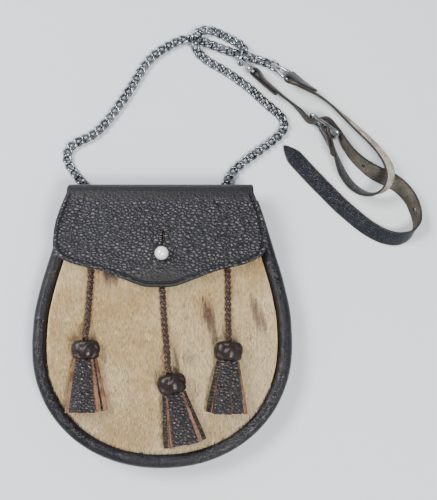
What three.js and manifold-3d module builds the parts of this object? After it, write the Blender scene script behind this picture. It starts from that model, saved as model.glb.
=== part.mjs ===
// A leather sporran pouch on its chain belt, lying on its back.
// Millimetres, +X to the right, +Y towards the chain, +Z up out of the pouch's front.
// The origin is on the ground, below the middle of the back panel.

import * as THREE from 'three';
import { mergeVertices } from 'three/addons/utils/BufferGeometryUtils.js';
import Module from 'manifold-3d';

const wasm = await Module();
wasm.setup();

// Clearance that mating pieces keep
const seat = 0.3;

// Pouch outline
const pouchWidth = 180.4;
const widestY = -15;
const bottomLength = 84.2;
const topLength = 114.2;
const bottomRoundness = 2.1;
const sideShape = [
  { up: 0, side: 1 },
  { up: 0.17, side: 0.992 },
  { up: 0.37, side: 0.943 },
  { up: 0.57, side: 0.87 },
  { up: 0.78, side: 0.79 },
  { up: 0.92, side: 0.73 },
  { up: 1, side: 0.7 },
];

// Back panel, which rises at the top to leave room for the chain's rings
const backThickness = 2.2;
const backInset = 2;
const backTopY = 92;
const ringRoom = 6.6;
const riseStartY = 10;
const riseEndY = 62;

// Side wall
const gussetThickness = 1.8;
const gussetInset = 4.6;
const gussetBulge = 1.1;
const mouthY = 84;

// Rolled border
const borderWidth = 10;
const borderHeight = 8.6;
const borderCentreZ = 16.2;
const mouthLift = 3.5;
const mouthLiftStartY = 30;

// Front of hide
const hideThickness = 2.2;
const hideTopY = 82;
const hideCrown = 6.2;
const crownRoundness = 2.4;

// Flap
const flapThickness = 2.2;
const flapWidth = 148.4;
const flapShift = -1.9;
const foldWidth = 127;
const foldY = 89.5;
const foldReach = 8;
const foldTopZ = 28;
const flapTipY = 22.4;
const flapTipZ = 31.6;
const flapCornerRise = 25.1;
const tailLength = 23.5;
const tailWidth = 114;
const widenShare = 0.6;
const flapEdge = [
  { across: 0, drop: 1, height: 1 },
  { across: 0.147, drop: 0.972, height: 1 },
  { across: 0.307, drop: 0.809, height: 0.99 },
  { across: 0.57, drop: 0.52, height: 0.965 },
  { across: 0.81, drop: 0.345, height: 0.905 },
  { across: 0.945, drop: 0.16, height: 0.845 },
  { across: 1, drop: 0, height: 0.81 },
];
const flapSide = [
  { down: 0, side: 0.885 },
  { down: 0.25, side: 0.941 },
  { down: 0.5, side: 0.983 },
  { down: 0.72, side: 0.999 },
  { down: 0.89, side: 1 },
  { down: 1, side: 0.978 },
];
const foldSteps = 5;

// Stud and keyhole
const studY = 45.5;
const ballDiameter = 9.5;
const neckDiameter = 4.4;
const studBaseDiameter = 8;
const studBaseHeight = 0.9;
const keyholeHeadY = 61;
const keyholeHeadDiameter = 2.8;
const slitWidth = 1.2;
const cutterHeight = 60;

// Tassels: each cord's route runs from its keeper to its knot, on top of the hide
const cordDiameter = 4.4;
const knotWidth = 20;
const knotLength = 13;
const knotHeight = 15;
const skirtLength = 35;
const skirtTopWidth = 15;
const skirtTopHeight = 9;
const skirtWidth = 29;
const skirtHeight = 11;
const skirtEndLift = 1.2;
const skirtHeadDepth = 4;
const cordClimb = 0.3;
const stripInset = 0.4;
const stripWidth = 6.8;
const stripTaper = 0.42;
const stripThickness = 1.5;
const stripCount = 8;
const keeperWidth = 8;
const keeperLength = 5;
const keeperHeight = 4.4;
const tasselRoutes = {
  left: [
    [-49.5, 42],
    [-49.4, 34],
    [-49.9, 22],
    [-50.6, 8],
    [-51.2, -5],
    [-51.2, -13],
  ],
  middle: [
    [0.2, 31],
    [0.4, 21],
    [1.2, 8],
    [2.4, -6],
    [4.1, -21],
    [6.1, -36],
  ],
  right: [
    [45.5, 42],
    [45.5, 34],
    [45.6, 22],
    [45.7, 8],
    [45.8, -5],
    [45.9, -14],
  ],
};
const skirtEnds = {
  left: [-49.8, -59.6],
  middle: [16.4, -82.5],
  right: [44.4, -61],
};

// Rings behind the top
const tabX = 45;
const tabWidth = 9.4;
const tabLeather = 1.6;
const tabLength = 18;
const dBarY = 85;
const dWidth = 14;
const dReach = 10.4;
const dWire = 2.2;
const dBarZ = 3.2;
const dTipZ = 4.1;

// Chain
const linkPitch = 6;
const linkWidth = 7.2;
const linkWire = 1.7;
const linkTwist = 1.25;
const linkFuse = 0.86;
const linkSteps = 10;
const wireInLink = 0.4;
const endRingDiameter = 6;
const endRingWire = 1.6;
const ovalLength = 8.8;
const ovalWidth = 6.6;
const ovalWire = 1.9;
const ovalTilt = 46;
// Angles round the D-rings at which the chains' first rings hang
const leftRingAngle = 2.35;
const rightRingAngle = 1.75;
// Chain routes are chosen by hand: x, y and how far the chain is lifted off the ground.
// Their ends are worked out from the rings that they hold.
const chainRoutes = {
  left: [
    [-55.4, 98, 0.9],
    [-60.5, 103.2],
    [-66.8, 110.6],
    [-72, 119.6],
    [-71.9, 128],
    [-64.8, 134.2],
    [-56.4, 137.8],
    [-48.2, 144.4],
    [-40.6, 154.2],
    [-33.7, 164.2],
    [-27.1, 174.6],
    [-21.5, 184.6],
    [-15.6, 194.6],
    [-7.6, 203.2],
    [2.5, 209.6],
    [12.6, 214.2],
    [21.6, 214.2],
    [31.2, 210.8],
    [42.5, 206.4],
    [52.4, 202.8],
    [61.4, 200.2],
    [69.9, 197.4, 0.3],
  ],
  right: [
    [43.9, 101.6, 1.2],
    [47.2, 108.6],
    [56.6, 118],
    [70.7, 128.9],
    [80.2, 136.2],
    [87.2, 143.4],
    [87.2, 151.2],
    [74.1, 164],
    [62.2, 175.5],
    [50.5, 184.6],
    [40, 191.8],
    [29.4, 198.2],
    [22.6, 204.4, 1.8],
    [21, 210.6, 4.6],
    [22.6, 217, 4.2],
    [29, 221.6, 0.6],
    [36.6, 220.6],
    [45.4, 216],
    [52.4, 211.6, 1.8],
    [57.4, 206.8, 4.2],
    [59.2, 201.4, 5],
  ],
};

// Straps: each row is a point of the strap's middle line, with the lean of its face in degrees
// (0 and 180 lie flat, 90 stands on edge) and how far its lower edge is off the ground
const strapWidth = 12;
const strapThickness = 2;
const strapFold = 22;
const holeDiameter = 3;
const holePitch = 25.4;
const holeCount = 5;
const tipLength = 12;
const tipEnd = 0.14;
const ringWire = 2.2;
const ringLength = 13;
const ringNarrow = 8;
const ringCorner = 1.2;
const foldSettle = 9;
const prongSlotLength = 16;
const piercedShare = 0.4;

// Buckle, standing on edge round the long strap
const buckleX = 116.2;
const buckleY = 143.9;
const buckleTurn = -37;
const buckleLength = 24;
const buckleWire = 2.4;
const buckleSlack = 0.4;
const buckleCorner = 2.6;
const prongWire = 1.7;
const prongReach = 13.6;

const buckleAngle = THREE.MathUtils.degToRad(buckleTurn);
const buckleTall = strapWidth + 2 * buckleSlack + buckleWire;
const strapInBuckle = buckleWire + buckleSlack;
// The long strap's way through the buckle: along is a share of half its length, and the strap lies
// off the bars by a share of its clearance to an end bar and to the fold on the middle bar
const clearOfBar = buckleWire / 2 + 2 * seat + strapThickness / 2;
const clearOfFold = buckleWire / 2 + 2 * seat + 1.5 * strapThickness;
const strapWeave = [
  { along: -1, bar: -1, fold: 0 },
  { along: -0.71, bar: -0.45, fold: 0 },
  { along: -0.46, bar: 0, fold: 0.35 },
  { along: -0.27, bar: 0, fold: 0.97 },
  { along: 0, bar: 0, fold: 1.22 },
  { along: 0.33, bar: 0, fold: 1.12 },
  { along: 0.67, bar: 0, fold: 0.85 },
  { along: 1, bar: 1.05, fold: 0 },
].map(({ along, bar, fold }) => {
  const ahead = along * buckleLength / 2;
  const over = bar * clearOfBar + fold * clearOfFold;
  return {
    x: buckleX + ahead * Math.cos(buckleAngle) - over * Math.sin(buckleAngle),
    y: buckleY + ahead * Math.sin(buckleAngle) + over * Math.cos(buckleAngle),
    lean: 90,
    lift: strapInBuckle,
  };
});

const longRoute = [
  { x: 66.3, y: 186, lean: 112, lift: 2.5 },
  { x: 75.4, y: 178, lean: 114, lift: 1.6 },
  { x: 84.8, y: 169.6, lean: 112, lift: 1.2 },
  { x: 93.6, y: 161.7, lean: 105, lift: 1.6 },
  { x: 99.6, y: 155.4, lean: 95, lift: 2.6 },
  ...strapWeave,
  { x: 131.6, y: 131.2, lean: 78, lift: 1.6 },
  { x: 137.4, y: 123.2, lean: 70, lift: 0.2 },
  { x: 144.6, y: 116.2, lean: 60, lift: 0 },
  { x: 152.6, y: 110.6, lean: 42, lift: 0 },
  { x: 161.6, y: 106.4, lean: 33, lift: 0 },
  { x: 170.6, y: 100.4, lean: 42, lift: 0 },
  { x: 177.8, y: 91.6, lean: 52, lift: 0 },
  { x: 181.6, y: 81.6, lean: 60, lift: 0 },
  { x: 182.2, y: 72.4, lean: 76, lift: 0 },
  { x: 177.6, y: 64.4, lean: 104, lift: 0 },
  { x: 168.6, y: 61, lean: 128, lift: 0 },
  { x: 158.6, y: 63, lean: 142, lift: 0 },
  { x: 148, y: 68.8, lean: 152, lift: 0 },
  { x: 137.4, y: 77.4, lean: 158, lift: 0 },
  { x: 126.8, y: 87.2, lean: 160, lift: 0 },
  { x: 117.2, y: 97.4, lean: 162, lift: 0 },
  { x: 107.6, y: 107.8, lean: 166, lift: 0 },
  { x: 98.2, y: 118.6, lean: 170, lift: 0 },
  { x: 87.4, y: 131.4, lean: 172, lift: 0 },
];
const shortRoute = [
  { x: 92.2, y: 182.4, lean: 130, lift: 2.6 },
  { x: 98.6, y: 177.4, lean: 126, lift: 1.6 },
  { x: 106.4, y: 172.6, lean: 116, lift: 0.6 },
  { x: 114.4, y: 167.8, lean: 108, lift: 0 },
  { x: 123.4, y: 160.6, lean: 110, lift: 0 },
  { x: 132.8, y: 151.2, lean: 118, lift: 0.6 },
  { x: 141.8, y: 141.4, lean: 124, lift: 2.6 },
  { x: 150.2, y: 131.4, lean: 126, lift: 5.6 },
  { x: 157.2, y: 121.4, lean: 130, lift: 8.6 },
  { x: 161.6, y: 111.6, lean: 133, lift: 10 },
  { x: 161.8, y: 102.4, lean: 124, lift: 9.6 },
  { x: 157, y: 95.2, lean: 98, lift: 7 },
  { x: 149.6, y: 92.8, lean: 70, lift: 4 },
  { x: 142, y: 95.2, lean: 54, lift: 1.6 },
  { x: 135.4, y: 100.8, lean: 49, lift: 0.4 },
  { x: 130.2, y: 108.6, lean: 51, lift: 0 },
  { x: 126.6, y: 117.4, lean: 60, lift: 0.4 },
  { x: 123.4, y: 127.4, lean: 76, lift: 1.6 },
  { x: 120.2, y: 135.6, lean: 89, lift: 2.8 },
  { x: buckleX, y: buckleY, lean: 90, lift: strapInBuckle },
];

// Finishes
const finishes = {
  darkLeather: { color: '#241c1e', roughness: 0.5, metalness: 0 },
  smoothLeather: { color: '#2b2022', roughness: 0.42, metalness: 0 },
  hide: { color: '#a8977a', roughness: 0.9, metalness: 0 },
  brownLeather: { color: '#2e1a16', roughness: 0.4, metalness: 0 },
  strapLeather: { color: '#26262c', roughness: 0.6, metalness: 0 },
  darkNickel: { color: '#8b8f94', roughness: 0.3, metalness: 1 },
  brightNickel: { color: '#dcdad6', roughness: 0.15, metalness: 1 },
};
const materials = {};
for (const [name, look] of Object.entries(finishes)) {
  materials[name] = new THREE.MeshStandardMaterial({ name, ...look });
}

const up = new THREE.Vector3(0, 0, 1);
const vec = (x, y, z) => new THREE.Vector3(x, y, z);
const mix = (a, b, share) => a + (b - a) * share;

function ease(value) {
  const share = Math.min(1, Math.max(0, value));
  return share * share * (3 - 2 * share);
}

// A smooth curve through two columns of a table
function through(rows, from, to) {
  const slopes = rows.map((row, i) => {
    const before = rows[Math.max(0, i - 1)];
    const after = rows[Math.min(rows.length - 1, i + 1)];
    return (after[to] - before[to]) / (after[from] - before[from]);
  });
  return (value) => {
    let i = 0;
    while (i < rows.length - 2 && value > rows[i + 1][from]) i += 1;
    const span = rows[i + 1][from] - rows[i][from];
    const t = (value - rows[i][from]) / span;
    const s = t * t * (3 - 2 * t);
    const startBend = t * (1 - t) * (1 - t) * span * slopes[i];
    const endBend = t * t * (1 - t) * span * slopes[i + 1];
    return mix(rows[i][to], rows[i + 1][to], s) + startBend - endBend;
  };
}

// Turns a geometry into a closed body with its faces pointing out
function closed(geometry) {
  geometry.deleteAttribute('normal');
  geometry.deleteAttribute('uv');
  const body = mergeVertices(geometry, 1e-4);
  const place = body.attributes.position;
  const index = body.index;
  const corners = [vec(), vec(), vec()];
  let volume = 0;
  for (let i = 0; i < index.count; i += 3) {
    corners.forEach((corner, k) => corner.fromBufferAttribute(place, index.getX(i + k)));
    volume += corners[0].dot(corners[1].clone().cross(corners[2]));
  }
  if (volume < 0) {
    for (let i = 0; i < index.count; i += 3) {
      const first = index.getX(i);
      index.setX(i, index.getX(i + 2));
      index.setX(i + 2, first);
    }
  }
  return body;
}

function solidOf(geometry) {
  const body = closed(geometry);
  const mesh = new wasm.Mesh({
    numProp: 3,
    vertProperties: new Float32Array(body.attributes.position.array),
    triVerts: new Uint32Array(body.index.array),
  });
  return new wasm.Manifold(mesh);
}

function geometryOf(solid) {
  const mesh = solid.getMesh();
  const geometry = new THREE.BufferGeometry();
  geometry.setAttribute('position', new THREE.BufferAttribute(mesh.vertProperties, 3));
  geometry.setIndex(new THREE.BufferAttribute(mesh.triVerts, 1));
  return geometry;
}

// Bends a box of across x along x deep cells: reshape gets shares from 0 to 1 of each side
function bentBox(across, along, deep, reshape) {
  const box = new THREE.BoxGeometry(1, 1, 1, across, along, deep);
  const place = box.attributes.position;
  for (let i = 0; i < place.count; i += 1) {
    const point = reshape(place.getX(i) + 0.5, place.getY(i) + 0.5, place.getZ(i) + 0.5);
    place.setXYZ(i, point.x, point.y, point.z);
  }
  return closed(box);
}

// A capped tube: surface gets the share along it, the angle round it and the share of its radius
function capped(sides, steps, surface) {
  const tube = new THREE.CylinderGeometry(1, 1, 1, sides, steps);
  const place = tube.attributes.position;
  for (let i = 0; i < place.count; i += 1) {
    const radius = Math.hypot(place.getX(i), place.getZ(i));
    const angle = Math.atan2(place.getZ(i), place.getX(i));
    const point = surface(place.getY(i) + 0.5, angle, radius);
    place.setXYZ(i, point.x, point.y, point.z);
  }
  return closed(tube);
}

// A closed wire through stations, each with a centre and the two axes of its section
function wireLoop(stations, wire, sides) {
  const count = stations.length;
  const torus = new THREE.TorusGeometry(1, 0.3, sides, count);
  const place = torus.attributes.position;
  const share = torus.attributes.uv;
  for (let i = 0; i < place.count; i += 1) {
    const station = stations[Math.round(share.getX(i) * count) % count];
    const angle = share.getY(i) * 2 * Math.PI;
    const point = station.centre.clone();
    point.addScaledVector(station.out, Math.cos(angle) * wire / 2);
    point.addScaledVector(station.side, Math.sin(angle) * wire / 2);
    place.setXYZ(i, point.x, point.y, point.z);
  }
  return closed(torus);
}

// Stations of a flat loop: points in the plane of the axes u and v about a centre
function flatLoop(points, centre, u, v) {
  const side = u.clone().cross(v).normalize();
  const centres = points.map(([a, b]) => centre.clone().addScaledVector(u, a).addScaledVector(v, b));
  return centres.map((point, i) => {
    const before = centres[(i + centres.length - 1) % centres.length];
    const after = centres[(i + 1) % centres.length];
    const out = after.clone().sub(before).cross(side).normalize();
    return { centre: point, out, side };
  });
}

function ovalPoints(length, width, count) {
  return Array.from({ length: count }, (_, i) => {
    const angle = (i / count) * 2 * Math.PI;
    return [length / 2 * Math.cos(angle), width / 2 * Math.sin(angle)];
  });
}

// Corners of a loop, each rounded by an arc of a few steps
function roundedPoints(corners, radius, steps) {
  const points = [];
  corners.forEach((corner, i) => {
    const before = corners[(i + corners.length - 1) % corners.length];
    const after = corners[(i + 1) % corners.length];
    const towards = (other) => {
      const length = Math.hypot(other[0] - corner[0], other[1] - corner[1]);
      return [(other[0] - corner[0]) / length * radius, (other[1] - corner[1]) / length * radius];
    };
    const back = towards(before);
    const ahead = towards(after);
    for (let k = 0; k <= steps; k += 1) {
      const t = k / steps;
      const pull = (1 - t) * (1 - t);
      const push = t * t;
      points.push([
        corner[0] + back[0] * pull + ahead[0] * push,
        corner[1] + back[1] * pull + ahead[1] * push,
      ]);
    }
  });
  return points;
}

const sporran = new THREE.Group();
sporran.name = 'sporran';

function add(name, geometry, finish) {
  const mesh = new THREE.Mesh(geometry, materials[finish]);
  mesh.name = name;
  sporran.add(mesh);
  return mesh;
}

// Outline
const halfWidth = pouchWidth / 2;
const sideAt = through(sideShape, 'up', 'side');

function outlineAt(y) {
  if (y >= widestY) return halfWidth * sideAt((y - widestY) / topLength);
  const down = Math.min(1, (widestY - y) / bottomLength);
  return halfWidth * (1 - down ** bottomRoundness) ** (1 / bottomRoundness);
}

const rimSteps = 12;
const leftRim = [];
for (let i = 0; i <= rimSteps; i += 1) {
  const y = mix(backTopY, widestY, i / rimSteps);
  leftRim.push(vec(-outlineAt(y), y, 0));
}
for (let i = 1; i < rimSteps; i += 1) {
  const angle = (i / rimSteps) * Math.PI / 2;
  leftRim.push(vec(
    -halfWidth * Math.cos(angle) ** (2 / bottomRoundness),
    widestY - bottomLength * Math.sin(angle) ** (2 / bottomRoundness),
    0,
  ));
}
const rightRim = leftRim.map((point) => vec(-point.x, point.y, 0)).reverse();
const rimLine = [...leftRim, vec(0, widestY - bottomLength, 0), ...rightRim];
const rim = new THREE.CatmullRomCurve3(rimLine, false, 'centripetal');
rim.arcLengthDivisions = 800;

function rimPoint(share, inset) {
  const point = rim.getPointAt(share);
  const ahead = rim.getTangentAt(share);
  return vec(point.x - ahead.y * inset, point.y + ahead.x * inset, 0);
}

// The share of the rim at which a piece of it reaches a height of the pouch
function rimShareAt(y, inset) {
  let low = 0;
  let high = 0.4;
  for (let i = 0; i < 30; i += 1) {
    const middle = (low + high) / 2;
    if (rimPoint(middle, inset).y > y) low = middle;
    else high = middle;
  }
  return low;
}

const backRise = (y) => ringRoom * ease((y - riseStartY) / (riseEndY - riseStartY));
const mouthRise = (y) => mouthLift * ease((y - mouthLiftStartY) / (mouthY - mouthLiftStartY));
const hideInset = borderWidth + seat;
const hideRimZ = borderCentreZ + hideThickness / 2;

// Height of the hide's outer face
function hideTop(x, y) {
  let share = Math.abs(x) / (outlineAt(y) - hideInset);
  if (y < widestY) {
    const across = Math.abs(x) / (halfWidth - hideInset);
    const down = (widestY - y) / (bottomLength - hideInset);
    share = (across ** bottomRoundness + down ** bottomRoundness) ** (1 / bottomRoundness);
  }
  const crown = 1 - Math.min(1, share) ** crownRoundness;
  return hideRimZ + mouthRise(y) * (1 - crown) + hideCrown * crown;
}

// Back panel
// Share of the rim at which the panels' bottom edges start, just short of its middle
const bottomShare = 0.488;

function makeBackPanel() {
  return bentBox(1, 24, 1, (across, along, depth) => {
    const edge = rimPoint(mix(bottomShare, 0, along), backInset);
    const z = backRise(edge.y) + backThickness * depth;
    return vec(edge.x * (1 - 2 * across), edge.y, z);
  });
}
add('back_panel', makeBackPanel(), 'darkLeather');

// Side wall between the back panel and the border
function makeGusset() {
  const start = rimShareAt(mouthY, gussetInset);
  return bentBox(1, 30, 2, (depth, along, height) => {
    const share = mix(start, 1 - start, along);
    const bulge = gussetBulge * Math.sin(Math.PI * height);
    const inset = gussetInset - bulge + gussetThickness * (depth - 0.5);
    const point = rimPoint(share, inset);
    const floor = backRise(point.y) + backThickness + seat;
    const roof = borderCentreZ - borderHeight / 2 + mouthRise(point.y) - seat;
    return vec(point.x, point.y, mix(floor, roof, height));
  });
}
add('gusset', makeGusset(), 'darkLeather');

// Rolled border round the front
function makeBorder() {
  const start = rimShareAt(mouthY, borderWidth / 2);
  return capped(7, 30, (along, angle, radius) => {
    const share = mix(start, 1 - start, along);
    const inset = borderWidth / 2 * (1 + radius * Math.cos(angle));
    const point = rimPoint(share, inset);
    const lift = borderHeight / 2 * radius * Math.sin(angle);
    return vec(point.x, point.y, borderCentreZ + mouthRise(point.y) + lift);
  });
}
add('border', makeBorder(), 'smoothLeather');

// Front of hide, domed and open towards the mouth
function makeFrontHide() {
  const start = rimShareAt(hideTopY, hideInset);
  return bentBox(8, 12, 1, (across, along, depth) => {
    const edge = rimPoint(mix(bottomShare, start, along), hideInset);
    const x = edge.x * (1 - 2 * across);
    const z = hideTop(x, edge.y) - hideThickness * (1 - depth);
    return vec(x, edge.y, z);
  });
}
add('front_hide', makeFrontHide(), 'hide');

// Flap: its middle surface runs from the sewn tail over the fold to the free edge
const edgeDrop = through(flapEdge, 'across', 'drop');
const edgeHeight = through(flapEdge, 'across', 'height');
const flapSideAt = through(flapSide, 'down', 'side');
const tailZ = backRise(backTopY) + backThickness + seat + flapThickness / 2;
const foldMiddleZ = foldTopZ - flapThickness / 2;

function flapMiddle(across, along) {
  const side = Math.abs(across);
  const foldZ = (tailZ + foldMiddleZ) / 2;
  const reach = foldReach - flapThickness / 2;
  if (along < 1) {
    const widen = ease((along - widenShare) / (1 - widenShare));
    const x = flapShift + across * mix(tailWidth, foldWidth, widen) / 2;
    return vec(x, foldY - tailLength * (1 - along), tailZ);
  }
  if (along <= 2) {
    const angle = Math.PI * (along - 1.5);
    const width = mix(foldWidth, flapWidth * flapSide[0].side, ease(along - 1));
    const z = foldZ + (foldMiddleZ - tailZ) / 2 * Math.sin(angle);
    return vec(flapShift + across * width / 2, foldY + reach * Math.cos(angle), z);
  }
  const down = along - 2;
  const cornerY = flapTipY + flapCornerRise;
  const freeY = cornerY - flapCornerRise * edgeDrop(side);
  const freeZ = flapTipZ * edgeHeight(side) - flapThickness / 2;
  const x = flapShift + across * flapWidth / 2 * flapSideAt(down);
  return vec(x, mix(foldY, freeY, down), mix(foldMiddleZ, freeZ, down));
}

function flapNormal(across, along) {
  const step = 0.02;
  const low = Math.max(-1, across - step);
  const high = Math.min(1, across + step);
  const over = flapMiddle(high, along).sub(flapMiddle(low, along));
  const start = Math.max(0, along - step);
  const end = Math.min(3, along + step);
  const ahead = flapMiddle(across, end).sub(flapMiddle(across, start));
  return ahead.cross(over).normalize();
}

function flapUndersideZ(x, y) {
  const down = (foldY - y) / (foldY - flapTipY);
  const across = Math.abs(x - flapShift) / (flapWidth / 2);
  const freeZ = flapTipZ * edgeHeight(across) - flapThickness / 2;
  return mix(foldMiddleZ, freeZ, down) - flapThickness / 2;
}

function makeFlap() {
  const right = flapEdge.map((row) => row.across);
  const columns = [...right.slice(1).reverse().map((across) => -across), ...right];
  const rows = [0, widenShare, 1];
  for (let i = 1; i <= foldSteps; i += 1) rows.push(1 + i / foldSteps);
  for (const row of flapSide.slice(1)) rows.push(2 + row.down);
  const sheet = bentBox(columns.length - 1, rows.length - 1, 1, (a, b, depth) => {
    const across = columns[Math.round(a * (columns.length - 1))];
    const along = rows[Math.round(b * (rows.length - 1))];
    const point = flapMiddle(across, along);
    return point.addScaledVector(flapNormal(across, along), flapThickness * (depth - 0.5));
  });
  const cutterFloor = tailZ + flapThickness;
  const drill = (diameter, y) => {
    const cutter = new THREE.CylinderGeometry(diameter / 2, diameter / 2, cutterHeight, 8);
    cutter.rotateX(Math.PI / 2);
    cutter.translate(0, y, cutterFloor + cutterHeight / 2);
    return solidOf(cutter);
  };
  const slit = new THREE.BoxGeometry(slitWidth, keyholeHeadY - studY, cutterHeight);
  slit.translate(0, (keyholeHeadY + studY) / 2, cutterFloor + cutterHeight / 2);
  return geometryOf(
    solidOf(sheet)
      .subtract(drill(neckDiameter + 2 * seat, studY))
      .subtract(drill(keyholeHeadDiameter, keyholeHeadY))
      .subtract(solidOf(slit)),
  );
}
add('flap', makeFlap(), 'darkLeather');

// Ball stud on the hide, through the flap
function makeStud() {
  const baseZ = hideTop(0, studY) + seat;
  const flapTopZ = flapUndersideZ(0, studY) + flapThickness;
  const ball = ballDiameter / 2;
  const neck = neckDiameter / 2;
  const ballZ = flapTopZ + seat + Math.sqrt(ball * ball - neck * neck);
  const profile = [
    new THREE.Vector2(0, baseZ),
    new THREE.Vector2(studBaseDiameter / 2, baseZ),
    new THREE.Vector2(studBaseDiameter / 2, baseZ + studBaseHeight),
    new THREE.Vector2(neck, baseZ + studBaseHeight),
  ];
  const neckAngle = Math.asin(neck / ball);
  const ballSteps = 5;
  for (let i = 0; i <= ballSteps; i += 1) {
    const angle = mix(neckAngle, Math.PI, i / ballSteps);
    profile.push(new THREE.Vector2(Math.max(0, ball * Math.sin(angle)), ballZ - ball * Math.cos(angle)));
  }
  profile[profile.length - 1].x = 0;
  const stud = new THREE.LatheGeometry(profile, 10);
  stud.rotateX(Math.PI / 2);
  stud.translate(0, studY, 0);
  return closed(stud);
}
add('stud', makeStud(), 'brightNickel');

// Tassels
function axesAlong(ahead) {
  const across = ahead.clone().cross(up).normalize();
  const high = across.clone().cross(ahead).normalize();
  return { across, high };
}

function makeTassel(side) {
  const route = tasselRoutes[side];
  const [lastX, lastY] = route[route.length - 1];
  const [endX, endY] = skirtEnds[side];
  const restZ = (x, y, height) => hideTop(x, y) + seat + height / 2;
  const heading = vec(endX - lastX, endY - lastY, 0).normalize();
  const knotX = lastX + heading.x * (knotLength / 2 + seat);
  const knotY = lastY + heading.y * (knotLength / 2 + seat);
  const knotCentre = vec(knotX, knotY, restZ(knotX, knotY, knotHeight));
  const end = vec(endX, endY, restZ(endX, endY, skirtHeight) + skirtEndLift);
  const ahead = end.clone().sub(knotCentre).normalize();
  const { across, high } = axesAlong(ahead);

  // Cord, which lies on the hide and rises at its end to the middle of the knot
  const [startX, startY] = route[0];
  const knotTop = knotCentre.clone().addScaledVector(ahead, -(knotLength / 2 + seat));
  const points = route.slice(0, -1).map(([x, y], i) => {
    const climb = i === route.length - 2 ? cordClimb : 0;
    return vec(x, y, mix(restZ(x, y, cordDiameter), knotTop.z, climb));
  });
  points.push(knotTop.clone().addScaledVector(ahead, -cordDiameter), knotTop);
  const cordSides = 8;
  const section = new THREE.Shape();
  for (let i = 0; i < cordSides; i += 1) {
    const angle = (i / cordSides) * 2 * Math.PI;
    const x = cordDiameter / 2 * Math.cos(angle);
    const y = cordDiameter / 2 * Math.sin(angle);
    if (i === 0) section.moveTo(x, y);
    else section.lineTo(x, y);
  }
  section.closePath();
  const cord = new THREE.ExtrudeGeometry(section, {
    steps: 6,
    bevelEnabled: false,
    extrudePath: new THREE.CatmullRomCurve3(points),
  });
  add(`tassel_cord_${side}`, closed(cord), 'brownLeather');

  // Keeper under the flap
  const keeper = new THREE.BoxGeometry(keeperWidth, keeperLength, keeperHeight);
  const keeperY = startY + keeperLength / 2 + seat;
  const keeperSpan = [-0.5, 0, 0.5].map((share) => startX + share * keeperWidth);
  const floor = Math.max(...keeperSpan.map((x) => hideTop(x, keeperY)));
  keeper.translate(startX, keeperY, floor + seat + keeperHeight / 2);
  add(`cord_keeper_${side}`, closed(keeper), 'brownLeather');

  // Knob wound from leather, a flattened barrel
  const barrel = [
    { along: -1, girth: 0.42 },
    { along: -0.72, girth: 0.86 },
    { along: -0.1, girth: 1 },
    { along: 0.6, girth: 0.88 },
    { along: 1, girth: 0.62 },
  ];
  const knot = capped(12, barrel.length - 1, (share, angle, radius) => {
    const row = barrel[Math.round(share * (barrel.length - 1))];
    const girth = row.girth * radius;
    return knotCentre.clone()
      .addScaledVector(ahead, row.along * knotLength / 2)
      .addScaledVector(across, girth * knotWidth / 2 * Math.cos(angle))
      .addScaledVector(high, girth * knotHeight / 2 * Math.sin(angle));
  });
  add(`tassel_knot_${side}`, knot, 'brownLeather');

  // Skirt of strips round a head, all in one piece
  const skirtTop = knotCentre.clone().addScaledVector(ahead, knotLength / 2 + seat);
  const girths = (share) => [
    mix(skirtTopWidth, skirtWidth, share) / 2,
    mix(skirtTopHeight, skirtHeight, share) / 2,
  ];
  let skirt = solidOf(capped(8, 1, (share, angle, radius) => {
    const [wide, tall] = girths(0);
    return skirtTop.clone()
      .addScaledVector(ahead, share * skirtHeadDepth)
      .addScaledVector(across, wide * radius * Math.cos(angle))
      .addScaledVector(high, tall * radius * Math.sin(angle));
  }));
  for (let i = 0; i < stripCount; i += 1) {
    const angle = ((i + 0.5) / stripCount) * 2 * Math.PI;
    const strip = bentBox(1, 1, 1, (wide, along, depth) => {
      const share = mix(skirtHeadDepth / 2 / skirtLength, 1, along);
      const [a, b] = girths(share);
      const inward = vec(Math.cos(angle) / a, Math.sin(angle) / b, 0).normalize();
      const level = stripThickness * depth + stripInset;
      const slide = stripWidth * (wide - 0.5) * mix(stripTaper, 1, share);
      const offAcross = a * Math.cos(angle) - inward.x * level - inward.y * slide;
      const offHigh = b * Math.sin(angle) - inward.y * level + inward.x * slide;
      return skirtTop.clone()
        .addScaledVector(ahead, share * skirtLength)
        .addScaledVector(across, offAcross)
        .addScaledVector(high, offHigh);
    });
    skirt = skirt.add(solidOf(strip));
  }
  add(`tassel_skirt_${side}`, geometryOf(skirt), 'brownLeather');
}
for (const side of Object.keys(tasselRoutes)) makeTassel(side);

// Rings in folded tabs behind the top
function makeRingTab(side) {
  const x = side * tabX;
  const roof = ringRoom - seat;
  const eye = dWire / 2 + seat;
  const outer = eye + tabLeather;
  const steps = 8;
  const profile = new THREE.Shape();
  profile.moveTo(dBarY - tabLength, roof);
  profile.lineTo(dBarY - tabLength, roof - 2 * tabLeather);
  for (let i = 0; i <= steps; i += 1) {
    const angle = -Math.PI / 2 - 0.5 + (i / steps) * (Math.PI + 0.5);
    profile.lineTo(dBarY + outer * Math.cos(angle), dBarZ + outer * Math.sin(angle));
  }
  profile.closePath();
  const bore = new THREE.Path();
  for (let i = 0; i < steps; i += 1) {
    const angle = (i / steps) * 2 * Math.PI;
    const point = [dBarY + eye * 1.08 * Math.cos(angle), dBarZ + eye * 1.08 * Math.sin(angle)];
    if (i === 0) bore.moveTo(...point);
    else bore.lineTo(...point);
  }
  bore.closePath();
  profile.holes.push(bore);
  const tab = new THREE.ExtrudeGeometry(profile, { depth: tabWidth, bevelEnabled: false });
  // The profile's x runs along the pouch and its y runs up
  tab.applyMatrix4(new THREE.Matrix4().makeBasis(vec(0, 1, 0), vec(0, 0, 1), vec(1, 0, 0)));
  tab.translate(x - tabWidth / 2, 0, 0);
  return closed(tab);
}

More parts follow.
